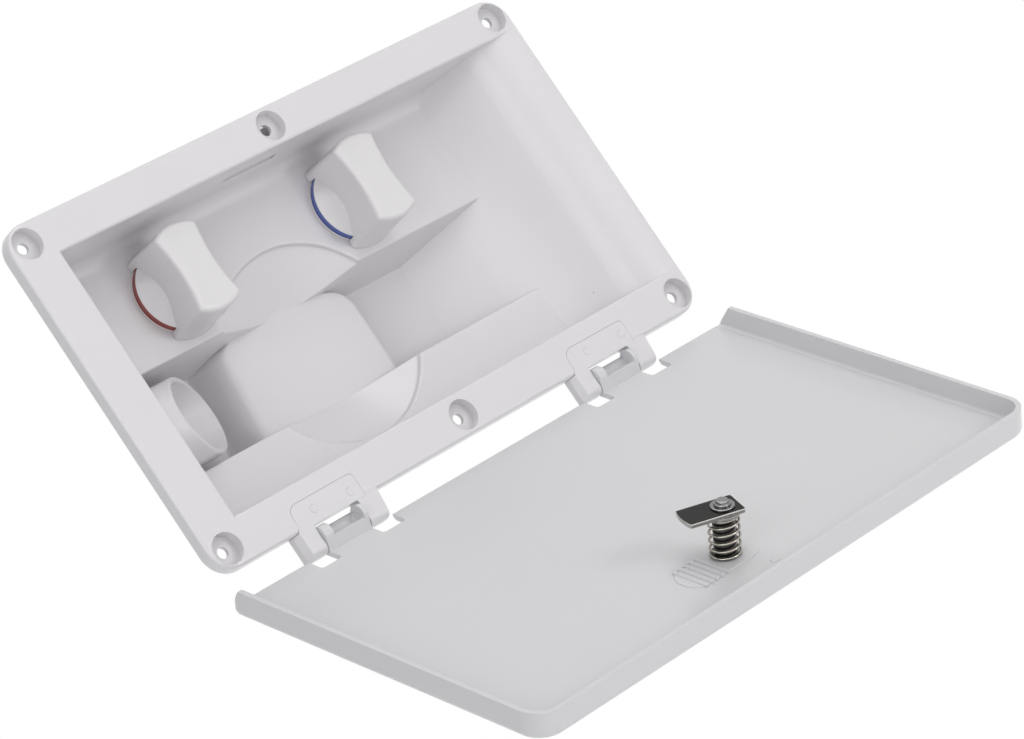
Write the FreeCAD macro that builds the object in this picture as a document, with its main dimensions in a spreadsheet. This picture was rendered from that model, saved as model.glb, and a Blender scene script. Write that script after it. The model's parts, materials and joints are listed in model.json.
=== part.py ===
"""Recessed shower unit: a moulded wall box with two taps, a hose socket and a hinged, latched door.

Row frame, millimetres: X runs along the hinge line, Y into the wall, Z up. The origin is the centre
of the flange's back face, which lies on the wall at y = 0. The door is shown open, on its stop.
"""
import FreeCAD, Part
import math
import os
import re

import Sketcher
from FreeCAD import Placement, Rotation, Vector

doc = FreeCAD.newDocument("recessed_shower_unit")
sheet = doc.addObject("Spreadsheet::Sheet", "sizes")

SIZES = {
    # flange, flat on the wall
    "flange_width": 310.0,
    "flange_height": 176.0,
    "flange_thick": 7.3,
    "flange_corner": 12.5,
    "flange_edge": 1.8,
    "screw_end_inset": 10.0,
    "screw_inset": 9.6,
    "screw_hole": 5.5,
    "screw_recess": 15.0,
    "screw_recess_depth": 5.2,
    "gasket_thick": 1.5,
    "gasket_inset": 3.0,
    "gasket_hole": 9.0,
    "fit_gap": 0.1,
    # recess behind the flange, measured from the flange's front face
    "wall": 2.5,
    "margin_left": 22.0,
    "margin_right": 18.0,
    "margin_top": 19.0,
    "margin_bottom": 20.5,
    "opening_edge": 1.6,
    "shelf_depth": 40.0,
    "floor_depth": 72.0,
    "shelf_round": 10.5,
    "ramp_to_shelf": 25.0,
    "ramp_to_floor": 64.5,
    "left_run": 26.5,
    "ramp_round": 100.0,
    "shelf_share": 0.4176,
    "pocket_share": 0.3736,
    "pocket_draft": 2.0,
    "pocket_round": 2.0,
    "pocket_edge": 1.2,
    "ramp_lip_round": 30.0,
    "inner_centre": -12.5,
    "well_margin": 4.5,
    "well_step": 2.5,
    "well_edge": 1.1,
    "well_slope_depth": 12.5,
    "well_inner_radius": 25.0,
    "plinth_width": 78.0,
    "plinth_height": 14.0,
    "plinth_margin": 4.0,
    "plinth_corner": 10.0,
    "plinth_crown": 3.0,
    # hinges
    "hinge_span": 176.0,
    "pivot_behind": 2.1,
    "pivot_below": 5.6,
    "peg_size": 2.6,
    "peg_clearance": 0.05,
    "peg_skin": 0.5,
    "peg_end_gap": 0.15,
    "arm_width": 25.5,
    "arm_gap": 0.9,
    "arm_play": 0.35,
    "arm_skin": 1.3,
    "arm_pocket_round": 1.5,
    "arm_root": 3.0,
    "arm_drop": 1.2,
    "arm_rise": 1.2,
    "knuckle_radius": 4.6,
    "left_cheek": 4.85,
    "right_cheek": 2.15,
    "ear_drop": 13.5,
    "ear_width": 12.0,
    "ear_taper": 1.4,
    "ear_round": 4.0,
    "ear_root_round": 1.2,
    "clip_ear_width": 8.85,
    "clip_ear_flare": 2.0,
    "clip_left": 20.5,
    "clip_right": 18.5,
    "clip_rise": 12.0,
    "clip_thick": 2.0,
    "clip_corner": 5.0,
    "clip_stud": 3.0,
    "clip_stud_depth": 1.6,
    # door
    "door_width": 319.2,
    "door_skin": 2.4,
    "rim_depth": 10.3,
    "rim_wall": 2.5,
    "rim_wall_gap": 0.3,
    "rim_start": 5.7,
    "door_overhang": 4.5,
    "panel_below": 0.8,
    "door_corner": 12.0,
    "door_edge": 3.0,
    "hinge_edge_corner": 6.0,
    "notch_depth": 8.5,
    "notch_gap": 0.8,
    "door_open": 132.3,
    # latch
    "latch_across": -5.9,
    "latch_drop": 13.3,
    "pad_length": 44.0,
    "pad_reach": 14.2,
    "pad_width": 17.4,
    "pad_shift": 1.6,
    "pad_corner": 7.5,
    "pad_height": 0.6,
    "rib_count": 5,
    "rib_first": 10.9,
    "rib_pitch": 3.47,
    "rib_thick": 1.5,
    "rib_length": 19.6,
    "rib_height": 0.8,
    "bush_radius": 5.9,
    "bush_flange": 10.0,
    "bush_flange_thick": 1.2,
    "shaft_radius": 5.0,
    "shaft_running_gap": 0.08,
    "cam_height": 21.9,
    "cam_thick": 2.0,
    "cam_width": 14.6,
    "cam_reach": 19.6,
    "cam_heel": 7.5,
    "cam_tip_round": 24.0,
    "cam_angle": 22.0,
    "cam_square": 6.0,
    "catch_width": 32.5,
    "catch_depth": 5.8,
    "catch_rise": 11.0,
    "catch_wall": 2.0,
    "latch_lift": 3.0,
    "latch_gap": 0.3,
    "rivet_radius": 3.7,
    "rivet_height": 2.4,
    "rivet_shank": 1.6,
    "rivet_washer_radius": 5.4,
    "rivet_washer_thick": 0.9,
    "thrust_radius": 7.6,
    "thrust_thick": 1.2,
    "wire": 1.1,
    "coil_radius": 6.6,
    "coil_turns": 4.75,
    "end_bend": 1.15,
    "coil_clear": 1.0,
    "handle_length": 38.0,
    "handle_width": 9.0,
    "handle_height": 7.0,
    "handle_hub": 9.0,
    # taps
    "tap_span": 111.0,
    "tap_share": 0.2227,
    "knob_gap": 0.3,
    "knob_height": 29.5,
    "knob_base_radius": 23.4,
    "knob_top_radius": 22.5,
    "knob_waist": 20.0,
    "knob_waist_round": 75.0,
    "knob_round": 2.6,
    "knob_side_round": 2.0,
    "ring_radius": 19.75,
    "ring_bore": 15.2,
    "ring_height": 4.4,
    "ring_skirt_gap": 0.3,
    "scoop_rise": 5.3,
    "scoop_foot": 10.0,
    "shank_radius": 9.0,
    "shank_front": 4.3,
    "shank_hole_gap": 0.4,
    "panel_nut_flats": 22.0,
    "panel_nut_height": 3.8,
    "seal_thick": 1.5,
    "seal_radius": 16.0,
    "valve_flange_radius": 17.5,
    "valve_flange_thick": 3.2,
    "valve_radius": 14.5,
    "valve_length": 33.3,
    "chamber_radius": 11.0,
    "chamber_front": 11.0,
    "spindle_radius": 4.0,
    "spindle_gap": 0.08,
    "spindle_in_knob": 15.0,
    "head_radius": 10.0,
    "head_thick": 3.0,
    "tongue_width": 4.0,
    "tongue_length": 13.0,
    "tongue_depth": 2.0,
    "disc_thick": 4.0,
    "disc_film": 0.05,
    "disc_seal_thick": 2.0,
    "disc_port_radius": 2.6,
    "disc_port_out": 6.0,
    "port_drop": 17.5,
    "port_radius": 10.5,
    "port_reach": 24.0,
    "manifold_radius": 8.0,
    "manifold_bore": 5.0,
    "tee_radius": 10.5,
    "tee_length": 16.0,
    "tail_flats": 24.0,
    "tail_collar": 5.0,
    "tail_length": 20.0,
    "tail_radius": 7.5,
    "tail_lead": 0.8,
    "tail_bore": 5.0,
    # hose socket on the left wall
    "socket_clear": 5.0,
    "socket_wall": 3.0,
    "socket_depth": 41.0,
    "socket_drop": 2.1,
    "socket_mouth": 42.0,
    "socket_bevel": 47.0,
    "socket_base": 3.0,
    "socket_rim_round": 1.2,
    "socket_seal_radius": 17.5,
    "hose_hole": 21.0,
    "socket_shank": 25.0,
    "socket_shank_proud": 0.8,
    "socket_nut_flats": 29.0,
    "socket_nut_height": 4.0,
}

for row, (alias, value) in enumerate(SIZES.items(), start=1):
    sheet.set("A%d" % row, alias)
    sheet.set("B%d" % row, str(value))
    sheet.setAlias("B%d" % row, alias)
doc.recompute()

WORD = re.compile(r"[A-Za-z_]+")

# lengths that follow from the sheet's, so that the recess keeps its margins inside the flange
DERIVED = {
    "opening_left": "(flange_width / 2 - margin_left)",
    "opening_right": "(flange_width / 2 - margin_right)",
    "opening_top": "(flange_height / 2 - margin_top)",
    "opening_bottom": "(flange_height / 2 - margin_bottom)",
    "opening_height": "(flange_height - margin_top - margin_bottom)",
    "ramp_at_shelf": "(opening_right - ramp_to_shelf)",
    "ramp_at_floor": "(opening_right - ramp_to_floor)",
    "tap_height": "(opening_top - tap_share * opening_height)",
    "shelf_top_round": "(tap_share * opening_height - knob_base_radius)",
    "pocket_top": "(opening_top - shelf_share * opening_height)",
    "pocket_bottom": "((shelf_share + pocket_share) * opening_height - opening_top)",
    "pocket_middle": "((pocket_top - pocket_bottom) / 2)",
    "well_radius": "(opening_bottom + pocket_middle - well_margin)",
    "socket_radius": "(pocket_share * opening_height / 2 - socket_clear)",
    "socket_height": "(socket_drop - pocket_middle)",
    "screw_span": "(flange_width - 2 * screw_end_inset)",
    "left_stretch": "sqrt(1 + (left_run / floor_depth) ^ 2)",
}


def full(text):
    """Turn the plain names in an expression into references to the sheet."""
    def refer(found):
        word = found.group(0)
        if word in DERIVED:
            return full(DERIVED[word])
        return "sizes." + word if word in SIZES else word

    return WORD.sub(refer, text)


def num(text):
    """The value of an expression, in millimetres or degrees."""
    return float(sheet.evalExpression(full(str(text))))


def bind(thing, prop, text):
    """Tie a property of an object to an expression."""
    thing.setExpression(prop, full(str(text)))


# places along Y, from the front of the wall towards the back
FACE = "(0 - flange_thick)"
SHELF = "(shelf_depth - flange_thick)"
SHELF_BACK = "(shelf_depth - flange_thick + wall)"
FLOOR = "(floor_depth - flange_thick)"
RIM_TOP = "(0 - rim_wall_gap)"
PANEL_IN = "(0 - rim_wall_gap - rim_depth)"
PANEL_OUT = "(0 - rim_wall_gap - rim_depth - door_skin)"
PIVOT_Y = "(pivot_behind - flange_thick)"
KNOB_BASE = "(shelf_depth - flange_thick - knob_gap)"
RING_TOP = "(shelf_depth - flange_thick - knob_gap - ring_height)"
KNOB_TOP = "(shelf_depth - flange_thick - knob_height)"
VALVE_FRONT = "(shelf_depth - flange_thick + wall + seal_thick)"
CHAMBER_FRONT = "(shelf_depth - flange_thick + wall + seal_thick + chamber_front)"
PORT_Y = "(shelf_depth - flange_thick + wall + seal_thick + port_drop)"
VALVE_BACK = "(shelf_depth - flange_thick + wall + seal_thick + valve_length)"
HEAD_BACK = "(%s + latch_gap + head_thick)" % CHAMBER_FRONT
DISC_TURN = "(%s + fit_gap)" % HEAD_BACK
DISC_FIXED = "(%s + disc_thick + disc_film)" % DISC_TURN
DISC_SEAL = "(%s + disc_thick)" % DISC_FIXED
TAIL_FRONT = "(%s + disc_seal_thick)" % DISC_SEAL

# places along Z and X
BOTTOM = "(0 - flange_height / 2)"
PIVOT_Z = "(0 - flange_height / 2 - pivot_below)"
PANEL_HINGE_EDGE = "(0 - flange_height / 2 - panel_below)"
DOOR_FREE_EDGE = "(flange_height / 2 + door_overhang)"
LATCH_Z = "(opening_top - latch_drop)"
PAD_Z = "(opening_top - latch_drop + pad_shift)"
CATCH_Y = "(cam_height - rim_wall_gap - rim_depth - latch_lift - latch_gap)"
SOCKET_Y = "(socket_depth - flange_thick)"
SOCKET_Z = "(0 - socket_height)"


def left_face(depth, grow):
    """Where the slanted left wall's inner face stands at a depth, or a face parallel to it further out."""
    return "(left_run * (%s + flange_thick) / floor_depth - opening_left - (%s) * left_stretch)" % (depth, grow)


def through_left(out):
    """A point on the hose socket's axis through the left wall, so far out from the wall's inner face."""
    return (left_face(SOCKET_Y, "0") + " - (%s) / left_stretch" % out,
            "(%s + (%s) * left_run / floor_depth / left_stretch)" % (SOCKET_Y, out), SOCKET_Z)


ALONG = {
    "X": Rotation(Vector(0, 1, 0), 90),
    "-X": Rotation(Vector(0, 1, 0), -90),
    "Y": Rotation(Vector(1, 0, 0), -90),
    "-Y": Rotation(Vector(1, 0, 0), 90),
    "Z": Rotation(),
    "left wall": Rotation(Vector(0, 0, 1), Vector(-num("floor_depth"), num("left_run"), 0)),
}


def place(thing, at, turn=None):
    """Put an object at a point whose three coordinates stay tied to the sheet."""
    thing.Placement = Placement(Vector(*[num(v) for v in at]), turn or Rotation())
    for axis, text in zip("xyz", at):
        bind(thing, "Placement.Base." + axis, text)


def rod(name, radius, length, at, along):
    """A cylinder that starts at a point and runs along an axis."""
    made = doc.addObject("Part::Cylinder", name)
    bind(made, "Radius", radius)
    bind(made, "Height", length)
    place(made, at, ALONG[along])
    return made


def taper(name, start, end, length, at, along):
    """A cone frustum from one radius to another."""
    made = doc.addObject("Part::Cone", name)
    bind(made, "Radius1", start)
    bind(made, "Radius2", end)
    bind(made, "Height", length)
    place(made, at, ALONG[along])
    return made


def block(name, size, at):
    """A box from its low corner."""
    made = doc.addObject("Part::Box", name)
    for prop, text in zip(("Length", "Width", "Height"), size):
        bind(made, prop, text)
    place(made, at)
    return made


def cut(name, base, *tools):
    """One object less others."""
    tool = tools[0] if len(tools) == 1 else fuse(name + "_tools", *tools)
    made = doc.addObject("Part::Cut", name)
    made.Base = base
    made.Tool = tool
    return made


def fuse(name, *members):
    """Several objects as one."""
    made = doc.addObject("Part::MultiFuse", name)
    made.Shapes = list(members)
    made.Refine = True
    return made


def common(name, first, second):
    """What two objects share."""
    made = doc.addObject("Part::Common", name)
    made.Base = first
    made.Tool = second
    return made


def soften(name, base, radius, wanted):
    """Round the edges that a test picks out of an object."""
    doc.recompute()
    made = doc.addObject("Part::Fillet", name)
    made.Base = base
    size = num(radius)
    made.Edges = [(i, size, size) for i, edge in enumerate(base.Shape.Edges, start=1) if wanted(edge)]
    return made


def near(edge, **limits):
    """Whether all of an edge lies at the given coordinates, each within a hair."""
    box = edge.BoundBox
    low = {"x": box.XMin, "y": box.YMin, "z": box.ZMin}
    high = {"x": box.XMax, "y": box.YMax, "z": box.ZMax}
    return all(abs(low[k] - v) < 0.02 and abs(high[k] - v) < 0.02 for k, v in limits.items())


def bound_point(sketch, geometry, place_in, text_x, text_y, label):
    """Tie one sketch point to two expressions."""
    for kind, text, suffix in (("DistanceX", text_x, "x"), ("DistanceY", text_y, "y")):
        index = sketch.addConstraint(Sketcher.Constraint(kind, geometry, place_in, num(text)))
        sketch.renameConstraint(index, label + suffix)
        bind(sketch, "Constraints." + label + suffix, text)


def outline(sketch, corners):
    """Draw a closed outline. A corner is (across, up) or (across, up, rounding radius)."""
    points = [Vector(num(c[0]), num(c[1]), 0) for c in corners]
    radii = [num(c[2]) if len(c) > 2 else 0.0 for c in corners]
    count = len(corners)
    ends = []
    for i in range(count):
        here = points[i]
        back = (points[i - 1] - here).normalize()
        ahead = (points[(i + 1) % count] - here).normalize()
        if radii[i]:
            half = back.getAngle(ahead) / 2
            reach = radii[i] / math.tan(half)
            middle = (back + ahead).normalize() * (radii[i] / math.sin(half)) + here
            ends.append((here + back * reach, here + ahead * reach, middle))
        else:
            ends.append((here, here, None))
    lines = [
        sketch.addGeometry(Part.LineSegment(ends[i][1], ends[(i + 1) % count][0]), False)
        for i in range(count)
    ]
    for i in range(count):
        before, after = lines[i - 1], lines[i]
        label = "p%d" % i
        if not radii[i]:
            sketch.addConstraint(Sketcher.Constraint("Coincident", before, 2, after, 1))
            bound_point(sketch, after, 1, corners[i][0], corners[i][1], label)
            continue
        first, last, middle = ends[i]
        start, stop = first - middle, last - middle
        left_turn = start.cross(stop).z > 0
        low, high = (start, stop) if left_turn else (stop, start)
        low_angle = math.atan2(low.y, low.x)
        high_angle = math.atan2(high.y, high.x)
        circle = Part.Circle(middle, Vector(0, 0, 1), radii[i])
        arc = sketch.addGeometry(Part.ArcOfCircle(circle, low_angle, high_angle), False)
        arc_first, arc_last = (1, 2) if left_turn else (2, 1)
        sketch.addConstraint(Sketcher.Constraint("Tangent", before, 2, arc, arc_first))
        sketch.addConstraint(Sketcher.Constraint("Tangent", arc, arc_last, after, 1))
        index = sketch.addConstraint(Sketcher.Constraint("Radius", arc, radii[i]))
        sketch.renameConstraint(index, label + "r")
        bind(sketch, "Constraints." + label + "r", corners[i][2])
        corner = sketch.addGeometry(Part.Point(points[i]), True)
        bound_point(sketch, corner, 1, corners[i][0], corners[i][1], label)
        sketch.addConstraint(Sketcher.Constraint("PointOnObject", corner, 1, before))
        sketch.addConstraint(Sketcher.Constraint("PointOnObject", corner, 1, after))


# sketch frames: the sketch's own x and y as two row axes, and where its thickness runs
FRAMES = {
    "XZ": (Rotation(Vector(1, 0, 0), Vector(0, 0, 1), Vector(0, -1, 0), "ZXY"), "y"),
    "YZ": (Rotation(Vector(0, 1, 0), Vector(0, 0, 1), Vector(1, 0, 0), "ZXY"), "x"),
    "XY": (Rotation(), "z"),
}


def prism(name, frame, start, length, corners):
    """Push an outline along the axis that its frame leaves free, towards that axis's plus side."""
    turn, axis = FRAMES[frame]
    sketch = doc.addObject("Sketcher::SketchObject", name + "_outline")
    outline(sketch, corners)
    at = {"x": "0", "y": "0", "z": "0"}
    at[axis] = start
    place(sketch, (at["x"], at["y"], at["z"]), turn)
    made = doc.addObject("Part::Extrusion", name)
    made.Base = sketch
    made.DirMode = "Normal"
    made.Reversed = frame == "XZ"
    made.Solid = True
    bind(made, "LengthFwd", length)
    return made


def spun(name, at, along, corners):
    """Turn a half outline, (radius, height along the axis), into a solid of revolution."""
    sketch = doc.addObject("Sketcher::SketchObject", name + "_outline")
    outline(sketch, corners)
    place(sketch, at, ALONG[along].multiply(Rotation(Vector(1, 0, 0), 90)))
    made = doc.addObject("Part::Revolution", name)
    made.Source = sketch
    made.Axis = ALONG[along].multVec(Vector(0, 0, 1))
    made.Angle = 360
    made.Solid = True
    for axis, text in zip("xyz", at):
        bind(made, "Base." + axis, text)
    return made


def hexagon(name, flats, height, at, along, bore=None):
    """A nut: a six-sided prism with its across-flats size, and a bore."""
    made = doc.addObject("Part::Prism", name + "_hex")
    made.Polygon = 6
    bind(made, "Circumradius", "(%s) / 2 / cos(30)" % flats)
    bind(made, "Height", height)
    place(made, at, ALONG[along])
    round_off = taper(name + "_chamfer", "(%s) / 2 * 1.12" % flats, "(%s) / 2 * 0.97" % flats, height, at, along)
    shaped = common(name + "_body", made, round_off)
    if bore is None:
        return shaped
    return cut(name, shaped, rod(name + "_bore", bore, height, at, along))


NODES = {}


def node(name, made, turned=None):
    """Name a finished sub-part. The name is also its file's."""
    made.Label = name
    NODES[name] = made
    if turned is not None:
        made.Placement = turned
    return made


# Recess box: the flange, the stepped bowl behind it, and the right ear of each hinge

def bowl(name, grow, open_front):
    """The recess as a solid: its side section crossed with its plan. Grow adds the wall.

    With an open front the solid runs out past the flange and flares over its soft edges.
    """
    front = "(%s - 5)" % FACE if open_front else FACE
    low = "(0 - opening_bottom - %s)" % grow
    high = "(opening_top + %s)" % grow
    step_up = "(pocket_top + %s)" % grow
    step_down = "(0 - pocket_bottom - %s)" % grow
    shelf = "(%s + %s)" % (SHELF, grow)
    floor = "(%s + %s)" % (FLOOR, grow)
    corner = "(pocket_round + %s)" % grow
    big, top = "(shelf_round + %s)" % grow, "(shelf_top_round + %s)" % grow
    inner = [
        (shelf, low, big), (shelf, step_down, "pocket_edge"), (floor, step_down, corner),
        (floor, step_up + " - pocket_draft", corner), (shelf, step_up, "pocket_edge"), (shelf, high, top),
    ]
    flare_low, flare_high = "(%s - 8)" % low, "(%s + 8)" % high
    if open_front:
        edge = [(front, flare_low), (FACE, flare_low), (FACE, low, "opening_edge")]
        back = [(FACE, high, "opening_edge"), (FACE, flare_high), (front, flare_high)]
    else:
        edge, back = [(front, low)], [(front, high)]
    section = prism(name + "_section", "YZ", "(0 - opening_left - 10)", "(opening_left + opening_right + 30)",
                    edge + inner + back)
    slant = "(%s * 1.25)" % grow
    left = left_face(FACE, grow)
    deep = [
        ("(ramp_at_shelf + %s)" % slant, SHELF, "ramp_round"),
        ("(ramp_at_floor + %s)" % slant, floor),
        (left_face(floor, grow), floor, corner),
    ]
    if open_front:
        rim = [("(%s - 5)" % left, front), ("(opening_right + 19)", front), ("(opening_right + 19)", FACE),
               ("opening_right", FACE, "ramp_lip_round")]
        back = [(left, FACE, "opening_edge"), ("(%s - 5)" % left, FACE)]
    else:
        rim, back = [(left, front), ("(opening_right + %s)" % slant, front)], []
    plan = prism(name + "_plan", "XY", "(0 - flange_height / 2 - 8)", "(flange_height + 16)", rim + deep + back)
    return common(name, section, plan)


def rounded_plate(name, width, height, corner, start, thick):
    """A flat plate with four round corners, centred on the row's Y axis."""
    half_w, half_h = "(%s) / 2" % width, "(%s) / 2" % height
    return prism(name, "XZ", start, thick, [
        ("0 - " + half_w, "0 - " + half_h, corner), (half_w, "0 - " + half_h, corner),
        (half_w, half_h, corner), ("0 - " + half_w, half_h, corner),
    ])


SCREW_X = ["(0 - screw_span / 2)", "0", "(screw_span / 2)"]
SCREW_Z = ["(flange_height / 2 - screw_inset)", "(screw_inset - flange_height / 2)"]
HINGES = {"left": "(0 - hinge_span / 2)", "right": "(hinge_span / 2)"}


def screw_places():
    """The six flange screws, as (column, row, x, z)."""
    return [(i, k, x, z) for i, x in enumerate(SCREW_X) for k, z in enumerate(SCREW_Z)]


def screw_rods(name, radius, start, length):
    """A cylinder through the flange at each screw's place."""
    return [rod("%s_%d%d" % (name, i, k), radius, length, (x, start, z), "Y") for i, k, x, z in screw_places()]


def gasket_sheet(name, gap):
    """The flat gasket's ring with its screw holes, or with a gap the groove that takes it."""
    outer = rounded_plate(
        name + "_outer", "(flange_width - 2 * gasket_inset + 2 * %s)" % gap,
        "(flange_height - 2 * gasket_inset + 2 * %s)" % gap, "(flange_corner - gasket_inset)",
        "(0 - gasket_thick)", "gasket_thick")
    inner = block(
        name + "_inner",
        ("(opening_left + opening_right + 3 * wall + 2 - 2 * %s)" % gap, "gasket_thick",
         "(opening_top + opening_bottom + 2 * wall + 2 - 2 * %s)" % gap),
        ("(%s - opening_left - wall - 1)" % gap, "(0 - gasket_thick)",
         "(%s - opening_bottom - wall - 1)" % gap))
    holes = screw_rods(name + "_hole", "(gasket_hole / 2 - %s)" % gap, "(0 - gasket_thick - 1)", "(gasket_thick + 2)")
    return cut(name, outer, inner, *holes)


def clip_outline(centre, gap):
    """Front outline of a hinge clip's panel, which sits flush in the flange."""
    return [
        ("(%s - clip_left - %s)" % (centre, gap), "(%s + 3)" % BOTTOM),
        ("(%s - arm_width / 2 - arm_play - clip_ear_width - %s)" % (centre, gap), BOTTOM),
        ("(%s + clip_right + %s)" % (centre, gap), BOTTOM),
        ("(%s + clip_right + %s)" % (centre, gap), "(%s + clip_rise + %s)" % (BOTTOM, gap), "clip_corner / 2"),
        ("(%s - clip_left - %s)" % (centre, gap), "(%s + clip_rise + %s)" % (BOTTOM, gap), "clip_corner"),
    ]


STUDS = ("(0 - arm_width / 3)", "(arm_width / 2)")


def ear_profile(name, start, width):
    """Side outline of a hinge ear, rounded at the bottom of its front."""
    return prism(name, "YZ", start, width, [
        (FACE, "(%s - ear_drop)" % BOTTOM, "ear_round"), ("0", "(%s - ear_drop)" % BOTTOM, "1"),
        ("0", "(%s + 1)" % BOTTOM), (FACE, "(%s + 1)" % BOTTOM),
    ])


def hinge_peg(name, face, length, along):
    """A round peg that stands out of a hinge ear's face into the door's arm, its end lightly rounded."""
    inwards, step = ("- 1", "+") if along == "X" else ("+ 1", "-")
    peg = rod(name, "peg_size / 2", "(%s + 1)" % length, ("(%s %s)" % (face, inwards), PIVOT_Y, PIVOT_Z), along)
    end = num("%s %s %s" % (face, step, length))
    return soften(name + "_soft", peg, "0.3", lambda e: near(e, x=end))


def make_recess_box():
    """The white moulding: flange, bowl, finger well, plinth, latch catch and the right ear of each hinge."""
    plate = rounded_plate("flange_plate", "flange_width", "flange_height", "flange_corner", FACE, "flange_thick")
    face = num(FACE)
    plate = soften("flange_soft", plate, "flange_edge", lambda e: near(e, y=face))
    shell = fuse("box_shell", plate, bowl("bowl_outside", "wall", False))
    ears = []
    for side, centre in HINGES.items():
        left = "(%s + arm_width / 2 + arm_gap)" % centre
        front = prism("ear_front_%s" % side, "XZ", FACE, "flange_thick", [
            (left, "(%s - ear_drop)" % BOTTOM, "0.8"),
            ("(%s + ear_width - ear_taper)" % left, "(%s - ear_drop)" % BOTTOM, "1.5"),
            ("(%s + ear_width)" % left, "(%s + 1)" % BOTTOM),
            ("(%s - ear_root_round - 1)" % left, "(%s + 1)" % BOTTOM),
            ("(%s - ear_root_round - 1)" % left, BOTTOM),
            (left, BOTTOM, "ear_root_round"),
        ])
        ear = common("ear_%s" % side, front, ear_profile("ear_side_%s" % side, "(%s - ear_root_round - 2)" % left,
                                                         "(ear_width + ear_root_round + 4)"))
        ears.append(ear)
        ears.append(hinge_peg("ear_peg_%s" % side, left, "(arm_gap + right_cheek - peg_skin - peg_end_gap)", "-X"))
    cavity = bowl("cavity", "0", True)
    well = spun("finger_well", ("inner_centre", "0", "pocket_middle"), "Y", [
        ("0", "(%s - 6)" % SHELF),
        ("(well_radius + 4)", "(%s - 6)" % SHELF),
        ("(well_radius + 4)", SHELF),
        ("well_radius", SHELF, "well_edge"),
        ("well_radius", "(%s + well_step)" % SHELF, "well_edge"),
        ("well_inner_radius", "(%s + well_step + well_slope_depth)" % SHELF),
        ("0", "(%s + well_step + well_slope_depth)" % SHELF),
    ])
    well_back = spun("finger_well_back", ("inner_centre", "0", "pocket_middle"), "Y", [
        ("0", "(%s - 2)" % SHELF),
        ("(well_radius + wall)", "(%s - 2)" % SHELF),
        ("(well_radius + wall)", "(%s + well_step + wall)" % SHELF),
        ("(well_inner_radius + wall)", "(%s + well_step + well_slope_depth + wall)" % SHELF),
        ("0", "(%s + well_step + well_slope_depth + wall)" % SHELF),
    ])
    plinth = prism("plinth", "XZ", "(%s - plinth_height)" % FLOOR, "(plinth_height + wall / 2)", [
        ("(inner_centre - plinth_width / 2)", "(plinth_margin - pocket_bottom)", "plinth_corner"),
        ("(inner_centre + plinth_width / 2)", "(plinth_margin - pocket_bottom)", "plinth_corner"),
        ("(inner_centre + plinth_width / 2)", "(pocket_top - plinth_margin - pocket_draft)", "plinth_corner"),
        ("(inner_centre - plinth_width / 2)", "(pocket_top - plinth_margin - pocket_draft)", "plinth_corner"),
    ])
    plinth_top = num("%s - plinth_height" % FLOOR)
    plinth = soften("plinth_soft", plinth, "plinth_crown", lambda e: near(e, y=plinth_top))
    before_face = "(%s - 1)" % FACE
    holes = screw_rods("screw_hole", "screw_hole / 2", before_face, "(flange_thick + 2)")
    holes += screw_rods("screw_recess", "screw_recess / 2", before_face, "(screw_recess_depth + 1)")
    for side, centre in HINGES.items():
        holes.append(prism("clip_pocket_%s" % side, "XZ", before_face, "(clip_thick + 1 + fit_gap)",
                           clip_outline(centre, "fit_gap")))
        for i, stud in enumerate(STUDS):
            holes.append(rod("stud_hole_%s_%d" % (side, i), "(clip_stud / 2 + fit_gap)",
                             "(clip_thick + clip_stud_depth + fit_gap)",
                             ("(%s + %s)" % (centre, stud), FACE, "(%s + clip_rise / 2)" % BOTTOM), "Y"))
    for side, x in TAPS.items():
        holes.append(rod("tap_hole_%s" % side, "(shank_radius + shank_hole_gap)", "(wall + 2)",
                         (x, "(%s - 1)" % SHELF, "tap_height"), "Y"))
    holes.append(rod("socket_hole", "(socket_shank / 2 + shank_hole_gap)", "(wall + 2)", through_left("0 - 1"),
                     "left wall"))
    holes.append(block("catch_slot", ("catch_width", "catch_depth", "(catch_rise + 1)"),
                       ("(latch_across - cam_reach - 1)", CATCH_Y, "(opening_top - 1)")))
    holes.append(gasket_sheet("gasket_groove", "fit_gap"))
    catch = block("catch_box",
                  ("(catch_width + 2 * catch_wall)", "(catch_depth + 2 * catch_wall)", "(catch_rise + catch_wall)"),
                  ("(latch_across - cam_reach - 1 - catch_wall)", "(%s - catch_wall)" % CATCH_Y, "opening_top"))
    body = fuse("box_body", shell, catch, *ears)
    opened = cut("box_opened", body, cavity)
    backed = fuse("box_backed", opened, cut("well_wall", well_back, cavity))
    hollowed = cut("box_hollowed", backed, well)
    with_plinth = fuse("box_with_plinth", hollowed, plinth)
    return node("recess_box", cut("recess_box_solid", with_plinth, *holes))


TAPS = {
    "hot": "(inner_centre - tap_span / 2)",
    "cold": "(inner_centre + tap_span / 2)",
}


def make_gasket():
    """Foam ring in the groove on the flange's back."""
    return node("flange_gasket", gasket_sheet("gasket_ring", "0"))


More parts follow.
